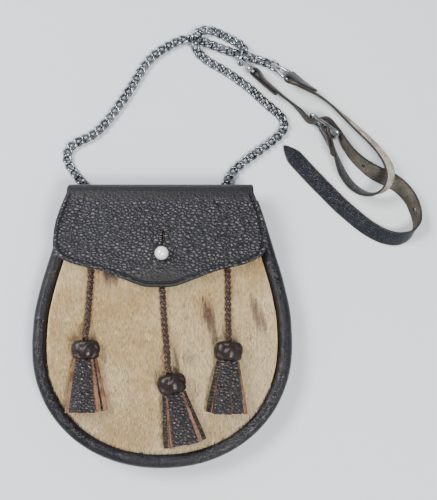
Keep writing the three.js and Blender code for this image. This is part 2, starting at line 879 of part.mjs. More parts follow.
function dRingAxes(side) {
  const centre = vec(side * tabX, dBarY, dBarZ);
  const ahead = vec(0, dReach, dTipZ - dBarZ).normalize();
  return { centre, ahead };
}

// A half round of the ring's width on a straight bar
function dRingPoint(angle) {
  const radius = dWidth / 2;
  return [radius * Math.cos(angle), dReach - radius + radius * Math.sin(angle)];
}

function makeDRing(side) {
  const { centre, ahead } = dRingAxes(side);
  const points = [];
  const arcSteps = 8;
  for (let i = 0; i <= arcSteps; i += 1) points.push(dRingPoint((i / arcSteps) * Math.PI));
  points.push([-dWidth / 2, 1], [-dWidth / 2 + 1, 0], [dWidth / 2 - 1, 0], [dWidth / 2, 1]);
  return wireLoop(flatLoop(points, centre, vec(1, 0, 0), ahead), dWire, 5);
}
for (const [name, side] of [['left', -1], ['right', 1]]) {
  add(`ring_tab_${name}`, makeRingTab(side), 'darkLeather');
  add(`d_ring_${name}`, makeDRing(side), 'darkNickel');
}

// Straps
function makeLine(route) {
  const plan = new THREE.CatmullRomCurve3(route.map((row) => vec(row.x, row.y, 0)));
  const attitude = new THREE.CatmullRomCurve3(route.map((row) => vec(row.lean, row.lift, 0)));
  plan.arcLengthDivisions = 600;
  const length = plan.getLength();
  return {
    length,
    at(distance) {
      const t = plan.getUtoTmapping(Math.min(1, Math.max(0, distance / length)));
      const centre = plan.getPoint(t);
      const ahead = plan.getTangent(t);
      const { x: lean, y: lift } = attitude.getPoint(t);
      const angle = THREE.MathUtils.degToRad(lean);
      const left = up.clone().cross(ahead).normalize();
      const width = left.multiplyScalar(Math.cos(angle)).addScaledVector(up, Math.sin(angle));
      const face = ahead.clone().cross(width).normalize();
      const tall = strapWidth * Math.abs(Math.sin(angle)) + strapThickness * Math.abs(Math.cos(angle));
      centre.z = tall / 2 + Math.max(0, lift);
      return { centre, ahead, width, face };
    },
  };
}

// A strap's line of stations, folded back round a bar at one or both ends.
// foldSide is the side of the strap that the folded end lies on: 1 for its face, -1 for its back.
function strapStations(line, { foldSide, barDiameters, step }) {
  const eye = (bar) => bar / 2 + seat + strapThickness / 2;
  const apart = strapThickness + seat;
  const stations = [];
  const mainOffset = (distance, bar) => -foldSide * eye(bar) * (1 - ease(distance / foldSettle));
  const backOffset = (distance, bar) => {
    const share = ease(distance / foldSettle);
    return foldSide * (eye(bar) * (1 - share) + apart * share);
  };
  const layer = (distance, offset, width) => {
    const { centre, width: across, face } = line.at(distance);
    stations.push({ centre: centre.addScaledVector(face, offset), across, width });
  };
  const loop = (distance, bar, direction) => {
    const { centre, ahead, width: across, face } = line.at(distance);
    const turns = 5;
    for (let i = 1; i < turns; i += 1) {
      const angle = (i / turns) * Math.PI;
      const point = centre.clone()
        .addScaledVector(face, direction * foldSide * eye(bar) * Math.cos(angle))
        .addScaledVector(ahead, -direction * eye(bar) * Math.sin(angle));
      stations.push({ centre: point, across, width: 1 });
    }
  };
  const inwards = [1, 0.6, 0.3, 0].map((share) => share * strapFold);
  const outwards = [...inwards].reverse();
  const [startBar, endBar] = barDiameters;
  for (const distance of inwards) layer(distance, backOffset(distance, startBar), 1);
  loop(0, startBar, 1);
  for (const distance of outwards) layer(distance, mainOffset(distance, startBar), 1);
  const plainEnd = line.length - (endBar ? strapFold : tipLength);
  const middleSteps = Math.round((plainEnd - strapFold) / step);
  for (let i = 1; i < middleSteps; i += 1) layer(mix(strapFold, plainEnd, i / middleSteps), 0, 1);
  if (endBar) {
    for (const distance of inwards) layer(line.length - distance, mainOffset(distance, endBar), 1);
    loop(line.length, endBar, -1);
    for (const distance of outwards) layer(line.length - distance, backOffset(distance, endBar), 1);
  } else {
    layer(plainEnd, 0, 1);
    layer(line.length, 0, tipEnd);
  }
  return stations;
}

function strapSolid(stations) {
  const last = stations.length - 1;
  return bentBox(1, last, 1, (across, along, depth) => {
    const i = Math.round(along * last);
    const before = stations[Math.max(0, i - 1)].centre;
    const after = stations[Math.min(last, i + 1)].centre;
    const { centre, across: side, width } = stations[i];
    const face = after.clone().sub(before).cross(side).normalize();
    return centre.clone()
      .addScaledVector(side, strapWidth * width * (across - 0.5))
      .addScaledVector(face, strapThickness * (depth - 0.5));
  });
}

// Buckle frame axes: along the strap, and across towards the side where the strap passes over the bar
const buckleAlong = vec(Math.cos(buckleAngle), Math.sin(buckleAngle), 0);
const buckleOver = vec(-buckleAlong.y, buckleAlong.x, 0);
const buckleCentre = vec(buckleX, buckleY, (buckleTall + buckleWire) / 2);

function between(start, end, diameter, sides) {
  const middle = start.clone().add(end).multiplyScalar(0.5);
  const rod = new THREE.CylinderGeometry(diameter / 2, diameter / 2, start.distanceTo(end), sides);
  const ahead = end.clone().sub(start).normalize();
  rod.applyQuaternion(new THREE.Quaternion().setFromUnitVectors(vec(0, 1, 0), ahead));
  rod.translate(middle.x, middle.y, middle.z);
  return rod;
}

function makeBuckle() {
  const a = buckleLength / 2;
  const b = buckleTall / 2;
  const points = roundedPoints([[a, -b], [a, b], [-a, b], [-a, -b]], buckleCorner, 2);
  const frame = solidOf(wireLoop(flatLoop(points, buckleCentre, buckleAlong, up), buckleWire, 6));
  const low = buckleCentre.clone().addScaledVector(up, -b);
  const high = buckleCentre.clone().addScaledVector(up, b);
  return geometryOf(frame.add(solidOf(between(low, high, buckleWire, 8))));
}

const prongTipOver = buckleWire / 2 + seat + prongWire / 2;
const prongTip = buckleCentre.clone()
  .addScaledVector(buckleAlong, -prongReach)
  .addScaledVector(buckleOver, prongTipOver);
const prongEye = buckleWire + 2 * seat + prongWire;

function makeProng() {
  const ring = wireLoop(
    flatLoop(ovalPoints(prongEye, prongEye, 8), buckleCentre, buckleAlong, buckleOver),
    prongWire,
    5,
  );
  const root = buckleCentre.clone().addScaledVector(buckleAlong, -prongEye / 2);
  return geometryOf(solidOf(ring).add(solidOf(between(root, prongTip, prongWire, 5))));
}

const longLine = makeLine(longRoute);
const shortLine = makeLine(shortRoute);

// The distance along a line at which it comes nearest to a point
function nearestDistance(line, point) {
  let best = 0;
  let least = Infinity;
  for (let i = 0; i <= 400; i += 1) {
    const distance = line.length * i / 400;
    const gap = line.at(distance).centre.distanceTo(point);
    if (gap < least) {
      least = gap;
      best = distance;
    }
  }
  return best;
}

function makeLongStrap() {
  let strap = solidOf(strapSolid(strapStations(longLine, {
    foldSide: 1,
    barDiameters: [ringWire, 0],
    step: 6.4,
  })));
  const root = buckleCentre.clone().addScaledVector(buckleAlong, -prongEye / 2);
  const fat = prongWire + 3 * seat;
  strap = strap.subtract(solidOf(between(root, prongTip, fat, 8)));
  const pierced = nearestDistance(longLine, root.clone().lerp(prongTip, piercedShare));
  for (let i = 1; i < holeCount; i += 1) {
    const { centre, face } = longLine.at(pierced + i * holePitch);
    const inner = centre.clone().addScaledVector(face, -strapThickness * 1.5);
    const outer = centre.clone().addScaledVector(face, strapThickness * 1.5);
    strap = strap.subtract(solidOf(between(inner, outer, holeDiameter, 8)));
  }
  return geometryOf(strap);
}

function makeBuckleStrap() {
  const strap = solidOf(strapSolid(strapStations(shortLine, {
    foldSide: -1,
    barDiameters: [ringWire, buckleWire],
    step: 7.5,
  })));
  const slotHeight = prongWire + 4 * seat;
  const slot = new THREE.BoxGeometry(prongSlotLength, prongSlotLength, slotHeight);
  slot.rotateZ(buckleAngle);
  slot.translate(buckleCentre.x, buckleCentre.y, buckleCentre.z);
  return geometryOf(strap.subtract(solidOf(slot)));
}

// Tapered ring at a strap's end, with its wide bar in the fold
function strapRing(line) {
  const { centre, ahead, width } = line.at(0);
  const back = ahead.clone().negate();
  const wide = strapWidth / 2 + 2 * seat + ringWire / 2;
  const narrow = ringNarrow / 2;
  const eyeReach = ringWire / 2 + 2 * seat + strapThickness;
  const half = [[0, wide], [eyeReach, wide], [ringLength, narrow]];
  const corners = [...half.map(([u, v]) => [u, -v]), ...half.reverse()];
  const points = roundedPoints(corners, ringCorner, 1);
  return {
    geometry: wireLoop(flatLoop(points, centre, back, width), ringWire, 6),
    narrowEnd: centre.clone().addScaledVector(back, ringLength),
  };
}

add('long_strap', makeLongStrap(), 'strapLeather');
add('buckle_strap', makeBuckleStrap(), 'strapLeather');
add('buckle', makeBuckle(), 'darkNickel');
add('buckle_prong', makeProng(), 'darkNickel');
const longRing = strapRing(longLine);
const shortRing = strapRing(shortLine);
add('strap_ring_long', longRing.geometry, 'darkNickel');
add('strap_ring_short', shortRing.geometry, 'darkNickel');

// Chains
const linkRest = linkTwist + linkWire / 2 + seat;
const linkOverhang = linkFuse * linkWire / 2;

function linkStations(centre, ahead, length, twist) {
  const across = up.clone().cross(ahead).normalize();
  const high = ahead.clone().cross(across).normalize();
  // The stations lie either side of the link's ends, so each end is a straight step
  const a = (length - linkWire) / 2 / Math.cos(Math.PI / linkSteps);
  const b = (linkWidth - linkWire) / 2;
  const centreAt = (angle) => centre.clone()
    .addScaledVector(ahead, a * Math.cos(angle))
    .addScaledVector(across, b * Math.sin(angle))
    .addScaledVector(high, twist * Math.sin(2 * angle));
  return Array.from({ length: linkSteps }, (_, i) => {
    const angle = ((i + 0.5) / linkSteps) * 2 * Math.PI;
    const point = centreAt(angle);
    const tangent = centreAt(angle + 0.05).sub(centreAt(angle - 0.05)).normalize();
    // An edge of the wire faces inwards, where the next link lies against it
    const inward = centre.clone().sub(point);
    inward.addScaledVector(tangent, -inward.dot(tangent)).normalize();
    return { centre: point, out: inward, side: tangent.cross(inward) };
  });
}

// Links at an even pitch along a route. Each meets the next where their ends cross.
function makeLinks(points, twist) {
  const curve = new THREE.CatmullRomCurve3(points);
  curve.arcLengthDivisions = 1200;
  const length = curve.getLength();
  const count = Math.round(length / linkPitch);
  const linkLength = length / count + 2 * linkOverhang + linkWire;
  const links = [];
  for (let i = 0; i < count; i += 1) {
    const start = curve.getPointAt(i / count);
    const end = curve.getPointAt((i + 1) / count);
    const centre = start.clone().add(end).multiplyScalar(0.5);
    const ahead = end.sub(start).normalize();
    links.push(solidOf(wireLoop(linkStations(centre, ahead, linkLength, twist), linkWire, 5)));
  }
  return links;
}

function fused(solids) {
  return geometryOf(solids.reduce((whole, solid) => whole.add(solid)));
}

const laidOut = (route) => route.map(([x, y, lift]) => vec(x, y, linkRest + (lift ?? 0)));

// A plain ring that joins a chain's end to a wire, in the plane of its two axes.
// It holds the wire with clearance, and the chain starts from where its other end meets the last link.
function endRing(wirePoint, heading, high, { length, width, wire, held }) {
  const clear = length / 2 - (wire + held) / 2 - seat;
  const centre = wirePoint.clone().addScaledVector(heading, clear);
  const reach = length / 2 - linkFuse * (wire + linkWire) / 2 + linkOverhang;
  return {
    solid: solidOf(wireLoop(flatLoop(ovalPoints(length, width, 12), centre, heading, high), wire, 6)),
    start: centre.clone().addScaledVector(heading, reach),
  };
}

// Each chain starts from a ring that stands upright about the round side of its D-ring
function dEndRing(side, angle, route) {
  const { centre, ahead } = dRingAxes(side);
  const [u, v] = dRingPoint(angle);
  const wirePoint = centre.clone().add(vec(u, 0, 0)).addScaledVector(ahead, v);
  const heading = laidOut(route)[0].sub(wirePoint).setZ(0).normalize();
  return endRing(wirePoint, heading, up, {
    length: endRingDiameter,
    width: endRingDiameter,
    wire: endRingWire,
    held: dWire,
  });
}

// The left chain ends in an oval link about the narrow end of the short strap's ring
function makeLeftChain() {
  const route = chainRoutes.left;
  const first = dEndRing(-1, leftRingAngle, route);
  const points = laidOut(route);
  const heading = points[points.length - 1].clone().sub(shortRing.narrowEnd).normalize();
  const across = heading.clone().cross(up).normalize();
  const high = across.clone().cross(heading);
  const tilt = THREE.MathUtils.degToRad(ovalTilt);
  const plane = across.multiplyScalar(Math.cos(tilt)).addScaledVector(high, Math.sin(tilt));
  const last = endRing(shortRing.narrowEnd, heading, plane, {
    length: ovalLength,
    width: ovalWidth,
    wire: ovalWire,
    held: ringWire,
  });
  const links = makeLinks([first.start, ...points, last.start], -linkTwist);
  return fused([first.solid, ...links, last.solid]);
}

// The right chain's last link goes round the narrow end of the long strap's ring
function makeRightChain() {
  const route = chainRoutes.right;
  const first = dEndRing(1, rightRingAngle, route);
  const points = laidOut(route);
  const heading = longRing.narrowEnd.clone().sub(points[points.length - 1]).normalize();
  const end = longRing.narrowEnd.clone().addScaledVector(heading, linkPitch / 2 - wireInLink);
  const links = makeLinks([first.start, ...points, end], linkTwist);
  return fused([first.solid, ...links]);
}

add('chain_left', makeLeftChain(), 'darkNickel');
add('chain_right', makeRightChain(), 'darkNickel');

export default sporran;
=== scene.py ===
# Looks of a sporran pouch that lies on its back with its chain belt.
# Shapes are worked out in millimetres and scaled to metres when a piece is finished.

import math
import random

import bmesh
import bpy
import numpy as np
from mathutils import Matrix, Vector, noise


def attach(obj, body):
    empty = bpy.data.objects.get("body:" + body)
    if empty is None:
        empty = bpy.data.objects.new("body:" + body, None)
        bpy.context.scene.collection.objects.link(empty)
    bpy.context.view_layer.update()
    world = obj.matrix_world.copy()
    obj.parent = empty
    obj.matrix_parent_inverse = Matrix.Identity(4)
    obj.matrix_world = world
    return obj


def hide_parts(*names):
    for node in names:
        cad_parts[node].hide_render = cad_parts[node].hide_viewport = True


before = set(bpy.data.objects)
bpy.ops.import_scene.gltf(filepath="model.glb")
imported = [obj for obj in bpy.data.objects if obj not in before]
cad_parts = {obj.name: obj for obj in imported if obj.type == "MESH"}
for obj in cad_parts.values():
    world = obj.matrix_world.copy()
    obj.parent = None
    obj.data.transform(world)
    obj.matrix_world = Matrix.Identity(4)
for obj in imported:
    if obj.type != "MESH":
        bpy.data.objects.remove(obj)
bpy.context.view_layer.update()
mm = 0.001
seat = 0.3  # clearance that neighbouring pieces keep


def mix(a, b, share):
    return a + (b - a) * share


def ease(value):
    share = min(1.0, max(0.0, value))
    return share * share * (3 - 2 * share)


def curveThrough(rows):
    # a smooth curve through rows of (place, value)
    slopes = []
    for i in range(len(rows)):
        before, after = rows[max(0, i - 1)], rows[min(len(rows) - 1, i + 1)]
        slopes.append((after[1] - before[1]) / (after[0] - before[0]))

    def read(value):
        i = 0
        while i < len(rows) - 2 and value > rows[i + 1][0]:
            i += 1
        span = rows[i + 1][0] - rows[i][0]
        t = (value - rows[i][0]) / span
        bend = t * (1 - t) * (1 - t) * span * slopes[i] - t * t * (1 - t) * span * slopes[i + 1]
        return mix(rows[i][1], rows[i + 1][1], t * t * (3 - 2 * t)) + bend

    return read


class Route:
    # a smooth route through points, read by the distance along it; extra columns follow along
    def __init__(self, points, extras=None, steps=24):
        places = [Vector(point) for point in points]
        columns = [Vector(row) for row in extras] if extras else None
        self.points, self.extras = [], []
        for i in range(len(places) - 1):
            for k in range(steps + (i == len(places) - 2)):
                self.points.append(self.between(places, i, k / steps))
                if columns:
                    self.extras.append(self.between(columns, i, k / steps))
        gaps = [(b - a).length for a, b in zip(self.points, self.points[1:])]
        self.distances = np.concatenate([[0.0], np.cumsum(gaps)])
        self.length = float(self.distances[-1])

    @staticmethod
    def between(places, i, t):
        first = places[i - 1] if i else places[0] * 2 - places[1]
        last = places[i + 2] if i + 2 < len(places) else places[-1] * 2 - places[-2]
        a, b = places[i], places[i + 1]
        d0, d1, d2 = (max(1e-4, (q - p).length ** 0.5) for p, q in ((first, a), (a, b), (b, last)))
        start = ((a - first) / d0 - (b - first) / (d0 + d1) + (b - a) / d1) * d1
        end = ((b - a) / d1 - (last - a) / (d1 + d2) + (last - b) / d2) * d1
        return (
            a * (2 * t**3 - 3 * t**2 + 1)
            + start * (t**3 - 2 * t**2 + t)
            + b * (3 * t**2 - 2 * t**3)
            + end * (t**3 - t**2)
        )

    def read(self, rows, distance):
        distance = min(self.length, max(0.0, distance))
        i = min(len(rows) - 2, int(np.searchsorted(self.distances, distance, side="right")) - 1)
        span = self.distances[i + 1] - self.distances[i]
        return rows[i].lerp(rows[i + 1], (distance - self.distances[i]) / span if span else 0)

    def at(self, distance):
        return self.read(self.points, distance)

    def also(self, distance):
        return self.read(self.extras, distance)

    def ahead(self, distance):
        reach = min(0.4, self.length / 50)
        return (self.at(distance + reach) - self.at(distance - reach)).normalized()


# Shader nodes


class Wire:
    # a socket that takes part in sums
    def __init__(self, paint, socket):
        self.paint, self.socket = paint, socket

    def sum(self, operation, *others):
        return self.paint.node("ShaderNodeMath", {"operation": operation}, dict(enumerate(others)))

    def __add__(self, other):
        return self.sum("ADD", self, other)

    def __radd__(self, other):
        return self.sum("ADD", other, self)

    def __sub__(self, other):
        return self.sum("SUBTRACT", self, other)

    def __rsub__(self, other):
        return self.sum("SUBTRACT", other, self)

    def __mul__(self, other):
        return self.sum("MULTIPLY", self, other)

    def __rmul__(self, other):
        return self.sum("MULTIPLY", other, self)

    def __abs__(self):
        return self.sum("ABSOLUTE", self)


class Nodes:
    # the nodes of a material or of the world, with the place that its patterns are laid by
    def __init__(self, owner, coordinates):
        owner.use_nodes = True
        self.tree = owner.node_tree
        self.place = self.node("ShaderNodeTexCoord", out=coordinates)

    def node(self, kind, settings=None, sockets=None, out=0):
        made = self.tree.nodes.new(kind)
        for name, value in (settings or {}).items():
            setattr(made, name, value)
        for name, value in (sockets or {}).items():
            self.feed(made.inputs[name], value)
        return Wire(self, made.outputs[out])

    def feed(self, socket, value):
        if isinstance(value, Wire):
            self.tree.links.new(value.socket, socket)
        else:
            socket.default_value = value

    def scaled(self, x, y, z, source=None):
        return self.node("ShaderNodeMapping", None, {"Vector": source or self.place, "Scale": (x, y, z)})

    def cloud(self, scale, detail=3, rough=0.55, source=None):
        sockets = {"Vector": source or self.place, "Scale": scale, "Detail": detail, "Roughness": rough}
        return self.node("ShaderNodeTexNoise", None, sockets)

    def cells(self, size, feature, source):
        sockets = {"Vector": source, "Scale": 1 / (size * mm)}
        return self.node("ShaderNodeTexVoronoi", {"feature": feature}, sockets, out="Distance")

    def steps(self, value, low, high):
        sockets = {"Value": value, "From Min": low, "From Max": high}
        return self.node("ShaderNodeMapRange", {"interpolation_type": "SMOOTHSTEP"}, sockets)

    def blend(self, a, b, share):
        sockets = {"Factor": share, 6: a, 7: b}
        return self.node("ShaderNodeMix", {"data_type": "RGBA"}, sockets, out=2)

    def bump(self, height, distance):
        sockets = {"Height": height, "Distance": distance * mm, "Strength": 1.0}
        return self.node("ShaderNodeBump", None, sockets)

    def value(self, name):
        return self.node("ShaderNodeAttribute", {"attribute_name": name}, out="Fac")


class Paint(Nodes):
    # one material, whose patterns lie on the object's own coordinates
    socketNames = {
        "colour": "Base Color",
        "roughness": "Roughness",
        "metallic": "Metallic",
        "sheen": "Sheen Weight",
        "sheenRoughness": "Sheen Roughness",
        "specular": "Specular IOR Level",
        "normal": "Normal",
    }

    def __init__(self, name):
        self.material = bpy.data.materials.new(name)
        super().__init__(self.material, "Object")
        self.shader = self.tree.nodes["Principled BSDF"]

    def set(self, **sockets):
        for name, value in sockets.items():
            self.feed(self.shader.inputs[self.socketNames[name]], value)
        return self.material


def tone(code):
    # a colour as it is seen, such as "5b4a3a", for the shader
    shares = [int(code[i : i + 2], 16) / 255 for i in (0, 2, 4)]
    light = [s / 12.92 if s <= 0.04045 else ((s + 0.055) / 1.055) ** 2.4 for s in shares]
    return (*light, 1.0)


stitch = {"length": 2.3, "pitch": 3.2, "thickness": 0.9, "inset": 3.0}
grain = {
    "warpScale": 420.0,
    "warp": 0.0011,
    "stretch": (0.8, 1.15, 1.0),
    "crease": 0.28,  # how far a crease reaches into its pebble, as a share
    "dome": 0.8,
    "fineness": 2.3,  # finer grains across one pebble
    "pressedLine": 13.5,  # mm from the flap's free edge
    "flatEdge": (1.0, 4.5),  # the pebbles grow to full height between these gaps
}

# the colours of the creases, a painted shade, and of the pebble tops, a painted highlight; the pebbles' size
# and height in mm, and the shine
leather = {
    "flap": {"deep": "070609", "high": "565359", "pebble": 2.3, "height": 1.0, "gloss": 0.2, "shine": 0.42},
    "border": {"deep": "09070c", "high": "201c25", "pebble": 1.3, "height": 0.18, "gloss": 0.2, "shine": 0.36},
    "shell": {"deep": "1b1415", "high": "33292a", "pebble": 1.6, "height": 0.14, "gloss": 0.42, "shine": 0.4},
    "strap": {"deep": "080b12", "high": "1d2230", "pebble": 1.4, "height": 0.42, "gloss": 0.2, "shine": 0.3},
    "tassel": {"deep": "080607", "high": "4e4545", "pebble": 2.2, "height": 1.0, "gloss": 0.2, "shine": 0.42},
    "braid": {"deep": "24130f", "high": "5a3a30", "pebble": 1.5, "height": 0.1, "gloss": 0.2, "shine": 0.5},
    "knot": {"deep": "170e0c", "high": "2e1e1b", "pebble": 3.4, "height": 0.06, "gloss": 0.27, "shine": 0.36},
}


def leatherPaint(name, looks, worked=False):
    # pebbled grain: domes between creases, and a finer grain on them; the colour is painted shade in the
    # creases and a painted highlight on the domes
    paint = Paint(name)
    noisy = {"Vector": paint.place, "Scale": grain["warpScale"]}
    drift = paint.node("ShaderNodeTexNoise", None, noisy, out="Color")
    shift = {0: drift, 1: (grain["warp"],) * 3, 2: paint.scaled(*grain["stretch"])}
    warped = paint.node("ShaderNodeVectorMath", {"operation": "MULTIPLY_ADD"}, shift)
    pebbles = paint.cells(looks["pebble"], "F1", warped)
    creases = paint.cells(looks["pebble"], "DISTANCE_TO_EDGE", warped)
    wear = paint.cloud(55.0, 4)
    fine = paint.cells(looks["pebble"] / grain["fineness"], "F1", warped)
    crease = paint.steps(creases, 0.0, grain["crease"])
    dome = 1 - paint.steps(pebbles, 0.0, grain["dome"])
    height = dome * 0.5 + crease * 0.5 - fine * 0.08
    tall = 0.75 + 0.5 * wear
    # painted shading: the colour runs from the deep tone in the creases, painted shade, to the high tone on
    # the dome tops, a painted highlight; the wear cloud varies it
    paintedShading = paint.steps(crease * (0.7 + 0.5 * wear) * (0.5 + 0.5 * dome), -0.05, 1.05)
    gloss = looks["gloss"] + 0.1 * (1 - crease) + 0.08 * wear
    if worked:
        # the flap: smooth where it bends and rubs, pressed and sewn along its edge
        gap, rubbed = paint.value("edgeGap"), paint.value("rubbed")
        tall = tall * (1 - 0.85 * rubbed) * (0.8 + 0.2 * paint.steps(gap, *grain["flatEdge"]))
        pressed = paint.steps(abs(gap - grain["pressedLine"]), 0.1, 0.9)
        sewn = paint.steps(abs(gap - stitch["inset"]), 0.2, 1.0)
        rim = paint.steps(gap, 0.0, 0.9)
        height = height * tall + pressed * 0.5 + sewn * 0.9 + rim * 0.4
        # the colour stays near the deep tone where the leather is rubbed smooth, and darkens along the stitch
        # line as painted shade in its groove
        paintedShading = (paintedShading * (1 - rubbed) + 0.07 * rubbed) * (0.4 + 0.6 * sewn)
        gloss = gloss + 0.2 * rubbed
    else:
        height = height * tall
    colour = paint.blend(tone(looks["deep"]), tone(looks["high"]), paintedShading)
    normal = paint.bump(height, looks["height"])
    return paint.set(colour=colour, roughness=gloss, specular=looks["shine"], normal=normal)


streakColour = "6a4030"


def hairPaint():
    # short hair: pale and tan clouds, drawn out along the lie of the hair, with brown streaks
    paint = Paint("hideHair")
    drawn = paint.scaled(1.0, 0.22, 1.0)
    strands = paint.cloud(1400.0, 2, 0.6, drawn)
    locks = paint.cloud(220.0, 3, 0.6, drawn)
    patches = paint.cloud(22.0, 3)
    clouds = paint.steps(patches * 0.75 + locks * 0.25, 0.36, 0.64)
    colour = paint.blend(tone("dbba7e"), tone("f6e1b4"), clouds)
    colour = paint.blend(tone("80623a"), colour, paint.steps(strands, 0.2, 0.53))
    colour = paint.blend(colour, tone(streakColour), paint.value("streak"))
    return paint.set(colour=colour, roughness=0.7, specular=0.25, sheen=0.3, sheenRoughness=0.4)


def hidePaint():
    paint = Paint("hideSkin")
    drawn = paint.scaled(1.0, 0.2, 1.0)
    locks = paint.cloud(420.0, 4, 0.65, drawn)
    colour = paint.blend(tone("b89868"), tone("dcc495"), paint.steps(locks, 0.3, 0.7))
    colour = paint.blend(colour, tone(streakColour), paint.value("streak"))
    return paint.set(colour=colour, roughness=0.85, normal=paint.bump(locks, 0.3))


def fleshPaint(name, deep, high, gloss=0.85, nap=0.22):
    # the rough flesh side and cut edges of leather
    paint = Paint(name)
    fibres = paint.cloud(1100.0, 4, 0.7)
    patches = paint.cloud(90.0, 3)
    colour = paint.blend(tone(deep), tone(high), paint.steps(patches * 0.5 + fibres * 0.5, 0.4, 0.62))
    return paint.set(colour=colour, roughness=gloss, specular=0.3, normal=paint.bump(fibres, nap))


def metalPaint(name, deep, high, gloss, metallic=1.0):
    paint = Paint(name)
    smears = paint.cloud(180.0, 4, 0.6)
    scratches = paint.cloud(900.0, 3, 0.6, paint.scaled(1.0, 0.15, 0.4))
    colour = paint.blend(tone(deep), tone(high), paint.steps(smears, 0.3, 0.7))
    roughness = gloss + 0.16 * smears * scratches
    normal = paint.bump(scratches, 0.01)
    return paint.set(colour=colour, metallic=metallic, roughness=roughness, normal=normal)


def threadPaint():
    paint = Paint("thread")
    twist = paint.cloud(2400.0, 1, 0.5, paint.scaled(1.0, 0.3, 1.0))
    colour = paint.blend(tone("070606"), tone("141112"), twist)
    return paint.set(colour=colour, roughness=0.7)


paints = {
    **{name: leatherPaint(name + "Leather", looks, name == "flap") for name, looks in leather.items()},
    "hair": hairPaint(),
    "hide": hidePaint(),
    "strapFlesh": fleshPaint("strapFlesh", "35322c", "5e584e"),
    "strapSuede": fleshPaint("strapSuede", "7b7161", "cdc4b3", 0.9, 0.6),
    "strapEdge": fleshPaint("strapEdge", "1d1a1b", "3a3330", 0.6),
    "tasselFlesh": fleshPaint("tasselFlesh", "4c3226", "97705a", 0.8, 0.4),
    "nickel": metalPaint("nickel", "8d9094", "d2d3d4", 0.16),
    # the chains' nickel is darker: partly the links' own darker gunmetal tone, partly painted shade for the
    # shade between the close links
    "darkNickel": metalPaint("darkNickel", "62666c", "aaaeb2", 0.17),
    "bright": metalPaint("brightNickel", "f4f1e8", "fffdf4", 0.22, 0.3),
    "thread": threadPaint(),
}
print("materials made")


# Mesh building


def gridOnto(mesh, across, along, place, size=(1.0, 1.0)):
    # lays a grid of faces onto place(u, v), with u and v from 0 to 1; its UVs are in metres
    uv = mesh.loops.layers.uv.verify()
    grid = bmesh.ops.create_grid(mesh, x_segments=across, y_segments=along, size=0.5, calc_uvs=True)
    made = grid["verts"]
    shares = {vert: (vert.co.x + 0.5, vert.co.y + 0.5) for vert in made}
    faces = {face for vert in made for face in vert.link_faces}
    for face in faces:
        for loop in face.loops:
            u, v = shares[loop.vert]
            loop[uv].uv = (u * size[0] * mm, v * size[1] * mm)
    for vert, (u, v) in shares.items():
        vert.co = place(u, v)
    return made, faces, shares


def closeEnds(mesh, verts):
    # closes the seam of a tube and caps its open ends
    bmesh.ops.remove_doubles(mesh, verts=verts, dist=1e-4)
    live = {edge for vert in mesh.verts if vert.is_valid for edge in vert.link_edges if edge.is_boundary}
    if live:
        bmesh.ops.holes_fill(mesh, edges=list(live), sides=0)


def addObject(mesh, name):
    data = bpy.data.meshes.new(name)
    mesh.to_mesh(data)
    mesh.free()
    made = bpy.data.objects.new(name, data)
    bpy.context.scene.collection.objects.link(made)
    return made


def finishPiece(mesh, name, materials, nodes=(), sharp=38.0, merge=1e-4):
    bmesh.ops.remove_doubles(mesh, verts=mesh.verts, dist=merge)
    bmesh.ops.recalc_face_normals(mesh, faces=mesh.faces)
    for edge in mesh.edges:
        edge.smooth = len(edge.link_faces) == 2 and edge.calc_face_angle() < math.radians(sharp)
    for face in mesh.faces:
        face.smooth = True
    bmesh.ops.scale(mesh, vec=(mm, mm, mm), verts=mesh.verts)
    piece = addObject(mesh, name)
    for material in materials:
        piece.data.materials.append(paints[material])
    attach(piece, "root")
    if nodes:
        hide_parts(*nodes)
    return piece


def markPoints(piece, name, read):
    # stores read(x, y, z), taken in millimetres, on each point of a piece for its material
    marks = piece.data.attributes.new(name, "FLOAT", "POINT")
    for i, vert in enumerate(piece.data.vertices):
        marks.data[i].value = read(*(vert.co / mm))


def bakeModifiers(piece):
    shaped = piece.evaluated_get(bpy.context.evaluated_depsgraph_get())
    data = bpy.data.meshes.new_from_object(shaped)
    piece.modifiers.clear()
    piece.data = data


def cutWith(piece, mesh, material=None):
    # takes the shapes of a mesh out of a piece
    bmesh.ops.scale(mesh, vec=(mm, mm, mm), verts=mesh.verts)
    cutter = addObject(mesh, "cutter")
    if material:
        cutter.data.materials.append(paints[material])
    bpy.context.view_layer.update()
    hole = piece.modifiers.new("hole", "BOOLEAN")
    hole.operation, hole.object, hole.solver = "DIFFERENCE", cutter, "EXACT"
    bakeModifiers(piece)
    bpy.data.objects.remove(cutter)


def sectionRing(sides, wide, tall):
    # a rounded oblong section as (across, up) pairs
    ring = []
    for k in range(sides):
        angle = 2 * math.pi * k / sides
        ring.append((
            wide / 2 * math.copysign(abs(math.cos(angle)) ** 0.5, math.cos(angle)),
            tall / 2 * math.copysign(abs(math.sin(angle)) ** 0.5, math.sin(angle)),
        ))
    return ring


def sweep(mesh, stations, sides, closed=False):
    # a tube through stations of (centre, across, up), whose section may be flattened by their lengths
    count = len(stations) - (0 if closed else 1)

    def place(u, v):
        centre, across, up = stations[round(v * count) % len(stations)]
        angle = 2 * math.pi * u
        return centre + across * math.cos(angle) + up * math.sin(angle)

    length = sum((b[0] - a[0]).length for a, b in zip(stations, stations[1:]))
    girth = 2 * math.pi * stations[0][1].length
    made, _, _ = gridOnto(mesh, sides, count, place, (girth, length))
    if not closed:
        closeEnds(mesh, made)


def faceSide(face, shares, sides, edge):
    # 1 on the upper face of a flat section, -1 on its lower face and 0 along its edges
    spot = sum(shares[loop.vert][0] for loop in face.loops) / len(face.loops) * sides % sides
    if edge < spot < sides / 2 - edge:
        return 1
    return -1 if sides / 2 + edge < spot < sides - edge else 0


def uprightAxes(ahead):
    across = ahead.cross(Vector((0, 0, 1))).normalized()
    return across, across.cross(ahead).normalized()


# Pouch

